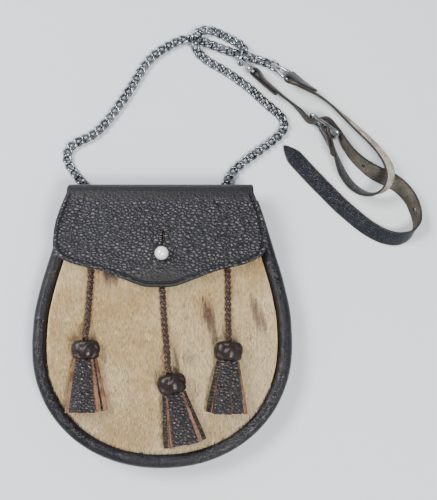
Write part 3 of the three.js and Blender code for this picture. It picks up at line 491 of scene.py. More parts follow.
pouch = {
    "width": 180.4,
    "widestY": -15,
    "bottomLength": 84.2,
    "topLength": 114.2,
    "roundness": 2.1,
    "side": [(0, 1), (0.17, 0.992), (0.37, 0.943), (0.57, 0.87), (0.78, 0.79), (0.92, 0.73), (1, 0.7)],
}
back = {
    "thickness": 2.2,
    "inset": 2,
    "trim": 0.25,
    "topY": 92,
    "ringRoom": 6.6,  # how far the back rises at the top, over the rings and their tabs
    "riseStartY": 10,
    "riseEndY": 62,
}
gusset = {"thickness": 1.8, "inset": 4.6, "bulge": 1.1, "mouthY": 84, "edgeShare": 0.06}
border = {
    "width": 10,
    "height": 8.6,
    "centreZ": 16.2,
    "mouthLift": 3.5,
    "liftStartY": 30,
    "swell": 0.02,  # the roll's section changes by this share along its length
    "wobble": 0.22,
}
hide = {"thickness": 2.2, "topY": 82, "crown": 6.2, "roundness": 2.4, "trim": 0.2}

halfWidth = pouch["width"] / 2
sideAt = curveThrough(pouch["side"])


def outlineAt(y):
    if y >= pouch["widestY"]:
        return halfWidth * sideAt((y - pouch["widestY"]) / pouch["topLength"])
    down = min(1, (pouch["widestY"] - y) / pouch["bottomLength"])
    return halfWidth * (1 - down ** pouch["roundness"]) ** (1 / pouch["roundness"])


def makeRim():
    steps = 12
    left = []
    for i in range(steps + 1):
        y = mix(back["topY"], pouch["widestY"], i / steps)
        left.append(Vector((-outlineAt(y), y, 0)))
    for i in range(1, steps):
        angle = i / steps * math.pi / 2
        left.append(Vector((
            -halfWidth * math.cos(angle) ** (2 / pouch["roundness"]),
            pouch["widestY"] - pouch["bottomLength"] * math.sin(angle) ** (2 / pouch["roundness"]),
            0,
        )))
    right = [Vector((-point.x, point.y, 0)) for point in reversed(left)]
    return Route([*left, Vector((0, pouch["widestY"] - pouch["bottomLength"], 0)), *right])


rim = makeRim()


def rimPoint(share, inset):
    point, ahead = rim.at(share * rim.length), rim.ahead(share * rim.length)
    return Vector((point.x - ahead.y * inset, point.y + ahead.x * inset, 0))


def rimShareAt(y, inset):
    low, high = 0.0, 0.4
    for _ in range(30):
        middle = (low + high) / 2
        if rimPoint(middle, inset).y > y:
            low = middle
        else:
            high = middle
    return low


def backRise(y):
    return back["ringRoom"] * ease((y - back["riseStartY"]) / (back["riseEndY"] - back["riseStartY"]))


def mouthRise(y):
    room = gusset["mouthY"] - border["liftStartY"]
    return border["mouthLift"] * ease((y - border["liftStartY"]) / room)


hideInset = border["width"] + seat
hideRimZ = border["centreZ"] + hide["thickness"] / 2


def hideShare(x, y):
    # 0 on the middle line of the hide, 1 at its edge
    if y >= pouch["widestY"]:
        return abs(x) / (outlineAt(y) - hideInset)
    across = abs(x) / (halfWidth - hideInset)
    down = (pouch["widestY"] - y) / (pouch["bottomLength"] - hideInset)
    return (across ** pouch["roundness"] + down ** pouch["roundness"]) ** (1 / pouch["roundness"])


def hideTop(x, y):
    crown = 1 - min(1.0, hideShare(x, y)) ** hide["roundness"]
    return hideRimZ + mouthRise(y) * (1 - crown) + hide["crown"] * crown


def sheetInRim(across, inset, topShare, heightAt, thickness, size):
    # a leather sheet that fills the pouch's outline; heightAt(x, y) is its upper face
    mesh = bmesh.new()
    for depth in (thickness, 0):
        def place(u, v):
            edge = rimPoint(mix(0.499, topShare, v), inset)
            x = edge.x * (1 - 2 * u)
            return Vector((x, edge.y, heightAt(x, edge.y) - depth))
        gridOnto(mesh, across, 110, place, size)
    bmesh.ops.remove_doubles(mesh, verts=mesh.verts, dist=1e-3)
    bmesh.ops.bridge_loops(mesh, edges=[edge for edge in mesh.edges if edge.is_boundary])
    return mesh


def makeBackPanel():
    def heightAt(x, y):
        return backRise(y) + back["thickness"]

    mesh = sheetInRim(24, back["inset"] + back["trim"], 0, heightAt, back["thickness"], (180, 190))
    return finishPiece(mesh, "backPanel", ["shell"], ["back_panel"])


def makeGusset():
    mesh = bmesh.new()
    start = rimShareAt(gusset["mouthY"], gusset["inset"])

    def place(u, v):
        # u runs up the outer side, over the edge and down the inner side
        edge = gusset["edgeShare"]
        height = min(1.0, max(0.0, 1 - abs(2 * u - 1) * (1 + 2 * edge) + edge))
        share = mix(start, 1 - start, v)
        inset = gusset["inset"] - gusset["bulge"] * math.sin(math.pi * height)
        inset += gusset["thickness"] * (0.5 if u > 0.5 else -0.5)
        point = rimPoint(share, inset)
        low = backRise(point.y) + back["thickness"] + seat
        high = border["centreZ"] - border["height"] / 2 + mouthRise(point.y) - seat
        return Vector((point.x, point.y, mix(low, high, height)))

    made, _, _ = gridOnto(mesh, 16, 130, place, (24, 480))
    closeEnds(mesh, made)
    return finishPiece(mesh, "gussetWall", ["shell"], ["gusset"])


def makeBorder():
    mesh = bmesh.new()
    start = rimShareAt(gusset["mouthY"], border["width"] / 2)

    def place(u, v):
        share = mix(start, 1 - start, v)
        angle = 2 * math.pi * u
        roll = noise.noise(Vector((v * 40, math.cos(angle), math.sin(angle))))
        swell = 1 - border["swell"] + border["swell"] * roll
        inset = border["width"] / 2 * (1 + swell * math.cos(angle))
        point = rimPoint(share, inset)
        wave = border["wobble"] * noise.noise(Vector((v * 25, 3.0, 1.0)))
        lift = border["height"] / 2 * swell * math.sin(angle) + wave * max(0.0, math.sin(angle))
        return Vector((point.x, point.y, border["centreZ"] + mouthRise(point.y) + lift))

    made, _, _ = gridOnto(mesh, 22, 260, place, (30, 480))
    closeEnds(mesh, made)
    return finishPiece(mesh, "borderRoll", ["border"], ["border"])


streaks = [
    # x, y, width, length, turn and strength of the brown marks in the hair
    (-38.5, 33, 10, 18, 12, 1.2),
    (-33, 30, 6, 12, -14, 1.1),
    (32, 5, 9, 20, 10, 1.1),
    (35, -6, 6, 20, 14, 0.9),
    (65, 5, 5, 26, 10, 0.9),
    (70, 0, 4, 22, 12, 0.7),
    (10, -28, 4, 20, 4, 0.9),
    (18, -26, 7, 10, 0, 0.6),
]
streakEdge = {
    "reach": 1.2,
    "softness": 0.7,
    # rows of how ragged the edge is, how fast that changes across and along the hair, and a noise layer
    "ragged": [(0.9, 0.8, 0.13, 5.0), (0.4, 0.3, 0.3, 2.0)],
    "darkest": 0.85,
}


def streakAt(x, y):
    most, ragged = 0.0, 0.0
    for much, across, along, layer in streakEdge["ragged"]:
        ragged += much * noise.noise(Vector((x * across, y * along, layer)))
    for middleX, middleY, wide, long, turn, strength in streaks:
        angle = math.radians(turn)
        dx, dy = x - middleX, y - middleY
        across = (dx * math.cos(angle) + dy * math.sin(angle)) / (wide / 2)
        along = (dy * math.cos(angle) - dx * math.sin(angle)) / (long / 2)
        inside = streakEdge["reach"] - math.hypot(across, along) + ragged
        most = max(most, strength * ease(inside / streakEdge["softness"]))
    return most * streakEdge["darkest"]


def markStreaks(piece):
    markPoints(piece, "streak", lambda x, y, z: streakAt(x, y))


def makeHide():
    topShare = rimShareAt(hide["topY"], hideInset)
    mesh = sheetInRim(60, hideInset + hide["trim"], topShare, hideTop, hide["thickness"], (160, 170))
    piece = finishPiece(mesh, "hideSkin", ["hide"], ["front_hide"])
    markStreaks(piece)
    return piece


hair = {
    "count": 46000,
    "length": 5.2,
    "thickness": 0.34,
    "lean": 0.1,  # in radians
    "lengths": (0.7, 1.25),  # shares of the length and of the lean
    "leans": (0.5, 1.6),
    "batch": 300,
    "bottomY": -90,
    "topY": 80.5,
    "edgeShare": 0.985,
    "drift": (0.35, 0.022),  # how far the hairs' heading turns, and how fast it changes
    "swirl": (0.3, 0.11),
    "spread": 0.1,
    "lift": 0.1,  # least height of a root over the hide
}


def makeHair(name, seed, wide, heightRange):
    # hairs are tapered spikes laid on a flat field, which is then lifted onto the domed hide
    chance = random.Random(seed)
    field = bpy.data.meshes.new(name + "Field")
    whole = bmesh.new()
    batch = bmesh.new()
    made = 0
    while made < hair["count"]:
        x = chance.uniform(*wide)
        y = chance.uniform(hair["bottomY"], hair["topY"])
        if hideShare(x, y) > hair["edgeShare"]:
            continue
        heading = 0
        for (swing, pace), layer in ((hair["drift"], 1.7), (hair["swirl"], 9.2)):
            heading += swing * noise.noise(Vector((x * pace, y * pace, layer)))
        heading += chance.gauss(0, hair["spread"])
        length = hair["length"] * chance.uniform(*hair["lengths"])
        lean = hair["lean"] * chance.uniform(*hair["leans"])
        height = hair["lift"] + heightRange * chance.random()
        turn = Matrix.Rotation(heading, 4, "Z") @ Matrix.Rotation(math.pi / 2 - lean, 4, "X")
        spot = Matrix.Translation((x, y, height))
        spot = spot @ turn @ Matrix.Translation((0, 0, length / 2))
        bmesh.ops.create_cone(
            batch, cap_ends=True, segments=3, radius1=hair["thickness"] / 2, radius2=0, depth=length,
            matrix=spot,
        )
        made += 1
        if made % hair["batch"] == 0 or made == hair["count"]:
            batch.to_mesh(field)
            whole.from_mesh(field)
            batch.clear()
    batch.free()
    bpy.data.meshes.remove(field)
    for vert in whole.verts:
        vert.co.z += hideTop(vert.co.x, vert.co.y)
    piece = finishPiece(whole, name, ["hair"], (), sharp=180.0, merge=1e-7)
    markStreaks(piece)
    return piece


makeBackPanel()
makeGusset()
makeBorder()
makeHide()
print("pouch made")
makeHair("hairLeft", 11, (-80, 0), 0.5)
makeHair("hairRight", 12, (0, 80), 0.5)
print("hair laid")


# Flap

flap = {
    "thickness": 2.2,
    "width": 148.4,
    "shift": -1.9,
    "foldWidth": 127,
    "foldY": 89.5,
    "foldReach": 8,
    "foldTopZ": 28,
    "tipY": 22.4,
    "tipZ": 31.6,
    "cornerRise": 25.1,
    "tailLength": 23.5,
    "tailWidth": 114,
    "widenShare": 0.6,
    "drop": [(0, 1), (0.147, 0.972), (0.307, 0.809), (0.57, 0.52), (0.81, 0.345), (0.945, 0.16), (1, 0)],
    "height": [(0, 1), (0.147, 1), (0.307, 0.99), (0.57, 0.965), (0.81, 0.905), (0.945, 0.845), (1, 0.81)],
    "side": [(0, 0.885), (0.25, 0.941), (0.5, 0.983), (0.72, 0.999), (0.89, 1), (1, 0.978)],
    "keyholeY": 61,
    "keyholeDiameter": 2.8,
    "slitWidth": 1.2,
    "rubbedFold": (82, 5),  # where the fold gets smooth, and over what length
    "rubbedTip": (24, 14),
    "rubbedRagged": (2.5, 0.06),
    "farFromEdge": 40.0,  # the gap that is stored where there is no free edge
    "edgeRounding": 0.6,
}
stud = {"y": 45.5, "ball": 9.5, "neck": 4.4, "baseDiameter": 8, "baseHeight": 0.9}
edgeDrop = curveThrough(flap["drop"])
edgeHeight = curveThrough(flap["height"])
flapSideAt = curveThrough(flap["side"])
tailZ = backRise(back["topY"]) + back["thickness"] + seat + flap["thickness"] / 2
foldMiddleZ = flap["foldTopZ"] - flap["thickness"] / 2


def flapMiddle(across, along):
    # the leather's middle: along is 0 to 1 on the tail, to 2 round the fold and to 3 down the front
    side = abs(across)
    if along < 1:
        widen = ease((along - flap["widenShare"]) / (1 - flap["widenShare"]))
        x = flap["shift"] + across * mix(flap["tailWidth"], flap["foldWidth"], widen) / 2
        return Vector((x, flap["foldY"] - flap["tailLength"] * (1 - along), tailZ))
    if along <= 2:
        angle = math.pi * (along - 1.5)
        width = mix(flap["foldWidth"], flap["width"] * flap["side"][0][1], ease(along - 1))
        reach = flap["foldReach"] - flap["thickness"] / 2
        z = (foldMiddleZ + tailZ) / 2 + (foldMiddleZ - tailZ) / 2 * math.sin(angle)
        return Vector((flap["shift"] + across * width / 2, flap["foldY"] + reach * math.cos(angle), z))
    down = along - 2
    freeY = flap["tipY"] + flap["cornerRise"] * (1 - edgeDrop(side))
    freeZ = flap["tipZ"] * edgeHeight(side) - flap["thickness"] / 2
    x = flap["shift"] + across * flap["width"] / 2 * flapSideAt(down)
    return Vector((x, mix(flap["foldY"], freeY, down), mix(foldMiddleZ, freeZ, down)))


def flapEdgeLine(count=400):
    # points of the flap's free edge, from its left side round the tip to its right side
    left = [flapMiddle(-1, 2 + k / count) for k in range(count)]
    bottom = [flapMiddle(2 * k / count - 1, 3) for k in range(count + 1)]
    right = [flapMiddle(1, 3 - k / count) for k in range(1, count + 1)]
    return left + bottom + right


freeEdge = flapEdgeLine()
freeEdgeFlat = np.array([(point.x, point.y) for point in freeEdge])


def edgeGapAt(x, y):
    return float(np.sqrt(((freeEdgeFlat - (x, y)) ** 2).sum(axis=1)).min())


def flapUndersideZ(x, y):
    down = (flap["foldY"] - y) / (flap["foldY"] - flap["tipY"])
    side = min(1.0, abs(x - flap["shift"]) / (flap["width"] / 2))
    freeZ = flap["tipZ"] * edgeHeight(side) - flap["thickness"] / 2
    return mix(foldMiddleZ, freeZ, down) - flap["thickness"] / 2


def edgeGapOnFlap(x, y, z):
    onFront = z > tailZ + flap["thickness"] and y < flap["foldY"]
    return edgeGapAt(x, y) if onFront else flap["farFromEdge"]


def rubbedAt(x, y, z):
    # 1 where the fold and the tip are worn smooth
    much, pace = flap["rubbedRagged"]
    ragged = much * noise.noise(Vector((x * pace, y * pace, 0)))
    foldY, foldLength = flap["rubbedFold"]
    tipWidth, tipLength = flap["rubbedTip"]
    tip = ease(1.5 - math.hypot(x / tipWidth, (y + ragged - flap["tipY"]) / tipLength))
    return max(ease((y + ragged - foldY) / foldLength), tip)


def makeFlap():
    mesh = bmesh.new()
    gridOnto(mesh, 120, 96, lambda u, v: flapMiddle(2 * u - 1, mix(0.02, 3, v)), (149, 130))
    bmesh.ops.recalc_face_normals(mesh, faces=mesh.faces)
    piece = finishPiece(mesh, "flapCover", ["flap"], ["flap"])
    wall = piece.modifiers.new("wall", "SOLIDIFY")
    wall.thickness, wall.offset, wall.use_even_offset = flap["thickness"] * mm, 0, True
    rounding = piece.modifiers.new("rounding", "BEVEL")
    rounding.width, rounding.segments, rounding.limit_method = flap["edgeRounding"] * mm, 3, "ANGLE"
    rounding.angle_limit = math.radians(50)
    cutWith(piece, keyholeShape())
    markPoints(piece, "edgeGap", edgeGapOnFlap)
    markPoints(piece, "rubbed", rubbedAt)
    return piece


def keyholeShape():
    # a round hole round the stud's neck and a smaller one above it, joined by a slit
    outline = []
    half = flap["slitWidth"] / 2
    spots = [(stud["y"], stud["neck"] / 2 + seat, -1), (flap["keyholeY"], flap["keyholeDiameter"] / 2, 1)]
    for y, radius, way in spots:
        start = math.asin(half / radius)
        for k in range(21):
            angle = mix(start, 2 * math.pi - start, k / 20)
            outline.append((-way * radius * math.sin(angle), y - way * radius * math.cos(angle)))
    mesh = bmesh.new()
    low, tall = tailZ + flap["thickness"], 40
    face = mesh.faces.new([mesh.verts.new((x, y, low)) for x, y in outline])
    made = bmesh.ops.extrude_face_region(mesh, geom=[face])["geom"]
    raised = [vert for vert in made if isinstance(vert, bmesh.types.BMVert)]
    bmesh.ops.translate(mesh, vec=(0, 0, tall), verts=raised)
    bmesh.ops.recalc_face_normals(mesh, faces=mesh.faces)
    return mesh


def makeStud():
    mesh = bmesh.new()
    baseZ = hideTop(0, stud["y"]) + seat
    flapTopZ = flapUndersideZ(0, stud["y"]) + flap["thickness"]
    ball, neck, base = stud["ball"] / 2, stud["neck"] / 2, stud["baseDiameter"] / 2
    ballZ = flapTopZ + seat + math.sqrt(ball**2 - neck**2)
    stepZ = baseZ + stud["baseHeight"]
    profile = [(0, baseZ), (base, baseZ), (base, stepZ), (neck, stepZ)]
    for k in range(25):
        angle = mix(math.asin(neck / ball), math.pi, k / 24)
        profile.append((ball * math.sin(angle), ballZ - ball * math.cos(angle)))
    profile[-1] = (0, profile[-1][1])
    verts = [mesh.verts.new((x, 0, z)) for x, z in profile]
    edges = [mesh.edges.new(pair) for pair in zip(verts, verts[1:])]
    bmesh.ops.spin(
        mesh, geom=verts + edges, axis=(0, 0, 1), cent=(0, 0, 0), angle=2 * math.pi, steps=40,
        use_merge=True,
    )
    bmesh.ops.translate(mesh, vec=(0, stud["y"], 0), verts=mesh.verts)
    return finishPiece(mesh, "ballStud", ["bright"], ["stud"], merge=1e-3)


def makeFlapStitches():
    mesh = bmesh.new()
    edge = Route([point for i, point in enumerate(freeEdge) if i % 6 == 0], steps=4)
    count = int(edge.length / stitch["pitch"])
    for k in range(count):
        distance = (k + 0.5) * edge.length / count
        point, ahead = edge.at(distance), edge.ahead(distance)
        inward = Vector((-ahead.y, ahead.x, 0)).normalized()
        spot = point + inward * stitch["inset"]
        spot.z = flapUndersideZ(spot.x, spot.y) + flap["thickness"] - 0.1
        turn = Vector((1, 0, 0)).rotation_difference(ahead).to_matrix().to_4x4()
        long, wide = stitch["length"] / 2, stitch["thickness"] / 2
        place = Matrix.Translation(spot) @ turn @ Matrix.Diagonal((long, wide, wide / 1.2, 1))
        bmesh.ops.create_uvsphere(mesh, u_segments=8, v_segments=5, radius=1, matrix=place)
    return finishPiece(mesh, "flapStitches", ["thread"], (), sharp=180)


makeFlap()
makeStud()
makeFlapStitches()
print("flap made")


# Tassels

tassel = {
    "cordDiameter": 4.4,
    "knotWidth": 20,
    "knotLength": 13,
    "knotHeight": 15,
    "skirtLength": 35,
    "skirtTopWidth": 15,
    "skirtTopHeight": 9,
    "skirtWidth": 29,
    "skirtHeight": 11,
    "endLift": 1.2,
    "cordClimb": 0.3,
    "keeper": (8, 5, 4.4),  # width, length and height
    "keeperRounding": 0.9,
    "routes": {
        "left": [(-49.5, 42), (-49.4, 34), (-49.9, 22), (-50.6, 8), (-51.2, -5), (-51.2, -13)],
        "middle": [(0.2, 31), (0.4, 21), (1.2, 8), (2.4, -6), (4.1, -21), (6.1, -36)],
        "right": [(45.5, 42), (45.5, 34), (45.6, 22), (45.7, 8), (45.8, -5), (45.9, -14)],
    },
    "ends": {"left": (-49.8, -59.6), "middle": (16.4, -82.5), "right": (44.4, -61)},
}
braid = {
    "strandWidth": 2.15,
    "strandThickness": 1.25,
    "lay": 7.6,  # length of one turn
    "inset": 0.25,
    "crossing": 0.45,  # how far a strand rises over the one that it crosses
    "step": 0.5,
    "core": 2.6,
}
wrap = {
    "bights": 3,
    "slant": 1.05,
    "offset": 0.3,
    "depth": 1.9,
    "weave": 0.42,
    "roundness": 7,
    "dome": [(0, 0.42), (0.05, 0.7), (0.16, 0.9), (0.4, 1), (0.72, 0.99), (0.92, 0.88), (1, 0.7)],
}
strips = {
    "thickness": 1.7,
    "taper": 0.6,
    "arch": 0.7,
    "cut": (-0.8, 0.5),  # how much longer a strip may be cut
    "wave": 0.3,
    "grainEdge": 1.2,
    "headLength": 12,
    "headInset": (0.7, 0.5),
    "headTaper": 0.2,
    # across and height at the end in mm, width, turn in degrees, and -1 where the flesh side is outward
    "left": [
        (0.6, 4.3, 12.2, 0, 1), (-8.4, 2.5, 7.4, 30, 1), (-5.5, 2.4, 3.6, 80, 1),
        (-12.8, -0.6, 4.8, 34, -1), (8.5, 2.5, 3.6, -34, -1), (10.6, 0.9, 5, -40, 1),
        (13.2, 0.3, 4, -52, -1), (-6, -2.6, 9, 0, 1), (5, -2.8, 10, 0, 1),
    ],
    "middle": [
        (-3.2, 4.1, 9.2, 3, 1), (5.4, 3.9, 8.4, -10, 1), (-12.4, 1.2, 6, 52, 1), (-9.2, 1.6, 2.4, 64, -1),
        (10.8, 2.4, 3.2, -36, -1), (13.2, 0.6, 5.5, -60, 1), (-6, -2.6, 9, 0, 1), (6, -2.8, 9, 0, 1),
    ],
    "right": [
        (-2.7, 4.2, 12.6, 2, 1), (8, 3.4, 8.6, -14, 1), (-11.9, 1.2, 6.6, 56, 1), (12.6, 1, 4.4, -56, -1),
        (-6, -2.6, 9, 0, 1), (6, -2.8, 9, 0, 1),
    ],
}


def makeBraid(side, points):
    # four strands, two winding each way, that pass over and under each other round a core
    mesh = bmesh.new()
    route = Route(points)
    count = round(route.length / braid["step"])
    radius = tassel["cordDiameter"] / 2 - braid["strandThickness"] / 2 - braid["inset"]
    winding = 2 * math.pi / braid["lay"]
    for way, start in ((1, 0), (1, math.pi), (-1, 0), (-1, math.pi)):
        stations = []
        for k in range(count + 1):
            distance = route.length * k / count
            ahead = route.ahead(distance)
            across, high = uprightAxes(ahead)
            angle = way * winding * distance + start
            over = braid["crossing"] * way * math.cos(2 * winding * distance)
            out = across * math.cos(angle) + high * math.sin(angle)
            centre = route.at(distance) + out * (radius + over)
            pull = ahead + (high * math.cos(angle) - across * math.sin(angle)) * way * radius * winding
            flat = pull.normalized().cross(out).normalized()
            stations.append((centre, flat * braid["strandWidth"] / 2, out * braid["strandThickness"] / 2))
        sweep(mesh, stations, 8)
    core = []
    for k in range(41):
        across, high = uprightAxes(route.ahead(route.length * k / 40))
        core.append((route.at(route.length * k / 40), across * braid["core"] / 2, high * braid["core"] / 2))
    sweep(mesh, core, 8)
    nodes = [f"tassel_cord_{side}"]
    return finishPiece(mesh, f"cordBraid{side.title()}", ["braid"], nodes, sharp=80), route


def makeKnot(side, centre, ahead, across, high):
    # a domed knot of broad bands: two sets slant opposite ways and pass over and under
    mesh = bmesh.new()
    dome = curveThrough(wrap["dome"])

    def band(phase):
        return 1 - (abs(phase % 1.0 - 0.5) * 2) ** wrap["roundness"]

    def place(u, v):
        first = wrap["bights"] * u + wrap["slant"] * v
        second = wrap["bights"] * u - wrap["slant"] * v + wrap["offset"]
        weave = wrap["weave"] * math.cos(math.pi * (first + second))
        level = max(band(first) + weave, band(second) - weave) - 1 - wrap["weave"]
        shrink = -level * wrap["depth"] * min(1.0, 6 * v, 6 * (1 - v))
        angle = 2 * math.pi * u
        wide = dome(v) * tassel["knotWidth"] / 2 - shrink
        tall = dome(v) * tassel["knotHeight"] / 2 - shrink
        along = (v - 0.5) * tassel["knotLength"]
        return centre + ahead * along + across * wide * math.cos(angle) + high * tall * math.sin(angle)

    made, _, _ = gridOnto(mesh, 84, 32, place, (55, 14))
    closeEnds(mesh, made)
    return finishPiece(mesh, f"knot{side.title()}", ["knot"], [f"tassel_knot_{side}"], sharp=70)


def makeSkirt(side, top, ahead, across, high, seed):
    chance = random.Random(seed)
    mesh = bmesh.new()
    length = tassel["skirtLength"]
    neckWide = tassel["skirtTopWidth"] / tassel["skirtWidth"]
    neckTall = tassel["skirtTopHeight"] / tassel["skirtHeight"]

    def place(u, v):
        angle = 2 * math.pi * u
        wide = tassel["skirtTopWidth"] / 2 - strips["headInset"][0]
        tall = tassel["skirtTopHeight"] / 2 - strips["headInset"][1]
        out = across * wide * math.cos(angle) + high * tall * math.sin(angle)
        return top + ahead * v * strips["headLength"] + out * (1 - strips["headTaper"] * v)

    head, _, _ = gridOnto(mesh, 24, 4, place, (38, strips["headLength"]))
    closeEnds(mesh, head)
    sides, steps = 16, 20
    section = sectionRing(sides, 1.0, 1.0)
    for endAcross, endHigh, wide, turn, outward in strips[side]:
        cut = chance.uniform(*strips["cut"])
        wave = chance.uniform(-strips["wave"], strips["wave"])
        endAcross, angle = -endAcross, -math.radians(turn)

        def strip(u, v):
            share = mix(0.0, 1 + cut / length, v)
            opened = 0.75 * share + 0.25 * ease(share)
            a, b = section[round(u * sides) % sides]
            lean = angle * mix(0.75, 1, share)
            width = wide * mix(strips["taper"], 1, opened) * a
            depth = strips["thickness"] * b
            slide = endAcross * mix(neckWide, 1, opened) + width * math.cos(lean) - depth * math.sin(lean)
            level = endHigh * mix(neckTall, 1, opened) + width * math.sin(lean) + depth * math.cos(lean)
            level += strips["arch"] * math.sin(math.pi * share) + wave * math.sin(2 * math.pi * share)
            return top + ahead * share * length + across * slide + high * level

        made, faces, shares = gridOnto(mesh, sides, steps, strip, (wide * 2.3, length))
        for face in faces:
            face.material_index = 0 if faceSide(face, shares, sides, strips["grainEdge"]) == outward else 1
        closeEnds(mesh, made)
        for face in mesh.faces:
            if len(face.verts) > 4 and face.material_index == 0 and face not in faces:
                face.material_index = 1
    materials = ["tassel", "tasselFlesh"]
    return finishPiece(mesh, f"skirt{side.title()}", materials, [f"tassel_skirt_{side}"])


def makeKeeper(side, x, y):
    wide, long, tall = tassel["keeper"]
    middleY = y + long / 2 + seat
    floor = max(hideTop(x + share * wide, middleY) for share in (-0.5, 0, 0.5))
    mesh = bmesh.new()
    made = bmesh.ops.create_cube(mesh, size=1)["verts"]
    bmesh.ops.scale(mesh, vec=(wide, long, tall), verts=made)
    bmesh.ops.translate(mesh, vec=(x, middleY, floor + seat + tall / 2), verts=made)
    bmesh.ops.bevel(
        mesh, geom=mesh.edges[:], offset=tassel["keeperRounding"], offset_type="OFFSET", segments=3,
        profile=0.5, affect="EDGES", material=-1,
    )
    finishPiece(mesh, f"cordKeeper{side.title()}", ["tassel"], [f"cord_keeper_{side}"], sharp=60)


def makeTassel(side, seed):
    route, end = tassel["routes"][side], tassel["ends"][side]
    lastX, lastY = route[-1]

    def rest(x, y, height):
        return Vector((x, y, hideTop(x, y) + seat + height / 2))

    heading = Vector((end[0] - lastX, end[1] - lastY, 0)).normalized()
    knotSpot = Vector((lastX, lastY, 0)) + heading * (tassel["knotLength"] / 2 + seat)
    knotCentre = rest(knotSpot.x, knotSpot.y, tassel["knotHeight"])
    tip = rest(*end, tassel["skirtHeight"]) + Vector((0, 0, tassel["endLift"]))
    ahead = (tip - knotCentre).normalized()
    across, high = uprightAxes(ahead)
    knotTop = knotCentre - ahead * (tassel["knotLength"] / 2 + seat)
    points = [rest(x, y, tassel["cordDiameter"]) for x, y in route[:-1]]
    points[-1].z = mix(points[-1].z, knotTop.z, tassel["cordClimb"])
    points += [knotTop - ahead * tassel["cordDiameter"], knotTop]
    cord, line = makeBraid(side, points)
    knot = makeKnot(side, knotCentre, ahead, across, high)
    skirtTop = knotCentre + ahead * (tassel["knotLength"] / 2 + seat)
    skirt = makeSkirt(side, skirtTop, ahead, across, high, seed)
    makeKeeper(side, *route[0])
    path = [line.at(line.length * k / 24) * mm for k in range(25)]
    points[0] * mm


for seed, side in enumerate(tassel["routes"]):
    makeTassel(side, 20 + seed)
print("tassels made")


# Rings behind the top

ringTab = {"x": 45, "width": 9.4, "leather": 1.6, "length": 18, "frontEnd": 6, "backEnd": 8}
dRing = {"barY": 85, "width": 14, "reach": 10.4, "wire": 2.2, "barZ": 3.2, "tipZ": 4.1}


def flatLoop(mesh, points, centre, u, v, wire, sides=12):
    # a wire bent to a flat closed loop of (u, v) points
    side = u.cross(v).normalized()
    spots = [centre + u * a + v * b for a, b in points]
    stations = []
    for i, spot in enumerate(spots):
        out = (spots[(i + 1) % len(spots)] - spots[i - 1]).cross(side).normalized()
        stations.append((spot, out * wire / 2, side * wire / 2))
    sweep(mesh, stations, sides, closed=True)


def ovalPoints(length, width, count):
    angles = [2 * math.pi * k / count for k in range(count)]
    return [(length / 2 * math.cos(angle), width / 2 * math.sin(angle)) for angle in angles]


def roundedCorners(corners, radius, steps=6):
    points = []
    for i, corner in enumerate(corners):
        corner = Vector(corner)
        before, after = Vector(corners[i - 1]), Vector(corners[(i + 1) % len(corners)])
        start = (before - corner).normalized() * radius
        end = (after - corner).normalized() * radius
        for k in range(steps + 1):
            t = k / steps
            points.append(tuple(corner + start * (1 - t) ** 2 + end * t * t))
    return points


def dRingPoint(angle):
    radius = dRing["width"] / 2
    return radius * math.cos(angle), dRing["reach"] - radius + radius * math.sin(angle)


def dRingAxes(side):
    centre = Vector((side * ringTab["x"], dRing["barY"], dRing["barZ"]))
    return centre, Vector((0, dRing["reach"], dRing["tipZ"] - dRing["barZ"])).normalized()


def makeDRing(name, side):
    mesh = bmesh.new()
    centre, ahead = dRingAxes(side)
    half = dRing["width"] / 2
    points = [dRingPoint(k / 24 * math.pi) for k in range(25)]
    points += [(-half, 1), (-half + 0.3, 0.3), (-half + 1, 0), (half - 1, 0), (half - 0.3, 0.3), (half, 1)]
    flatLoop(mesh, points, centre, Vector((1, 0, 0)), ahead, dRing["wire"])
    return finishPiece(mesh, f"dRing{name.title()}", ["nickel"], [f"d_ring_{name}"], sharp=70)


def makeRingTab(name, side):
    roof = back["ringRoom"] - seat
    eye = dRing["wire"] / 2 + seat
    thick = ringTab["leather"]
    endY = dRing["barY"] - ringTab["length"]
    route = [(endY, roof - thick / 2), (dRing["barY"] - ringTab["frontEnd"], roof - thick / 2)]
    for k in range(13):
        angle = mix(math.pi / 2, -math.pi / 2 - 0.5, k / 12)
        reach = eye + thick / 2
        route.append((dRing["barY"] + reach * math.cos(angle), dRing["barZ"] + reach * math.sin(angle)))
    route += [(dRing["barY"] - ringTab["backEnd"], roof - thick * 1.5), (endY, roof - thick * 1.5)]
    mesh = bmesh.new()
    section = sectionRing(12, ringTab["width"], thick)
    middle = [Vector((side * ringTab["x"], y, z)) for y, z in route]

    def place(u, v):
        i = round(v * (len(middle) - 1))
        before, after = middle[max(0, i - 1)], middle[min(len(middle) - 1, i + 1)]
        face = (after - before).cross(Vector((1, 0, 0))).normalized()
        a, b = section[round(u * len(section)) % len(section)]
        return middle[i] + Vector((a, 0, 0)) + face * b

    made, _, _ = gridOnto(mesh, 12, len(middle) - 1, place, (22, 40))
    closeEnds(mesh, made)
    return finishPiece(mesh, f"ringTab{name.title()}", ["shell"], [f"ring_tab_{name}"])


for name, side in (("left", -1), ("right", 1)):
    makeDRing(name, side)
    makeRingTab(name, side)
print("rings made")


# Straps

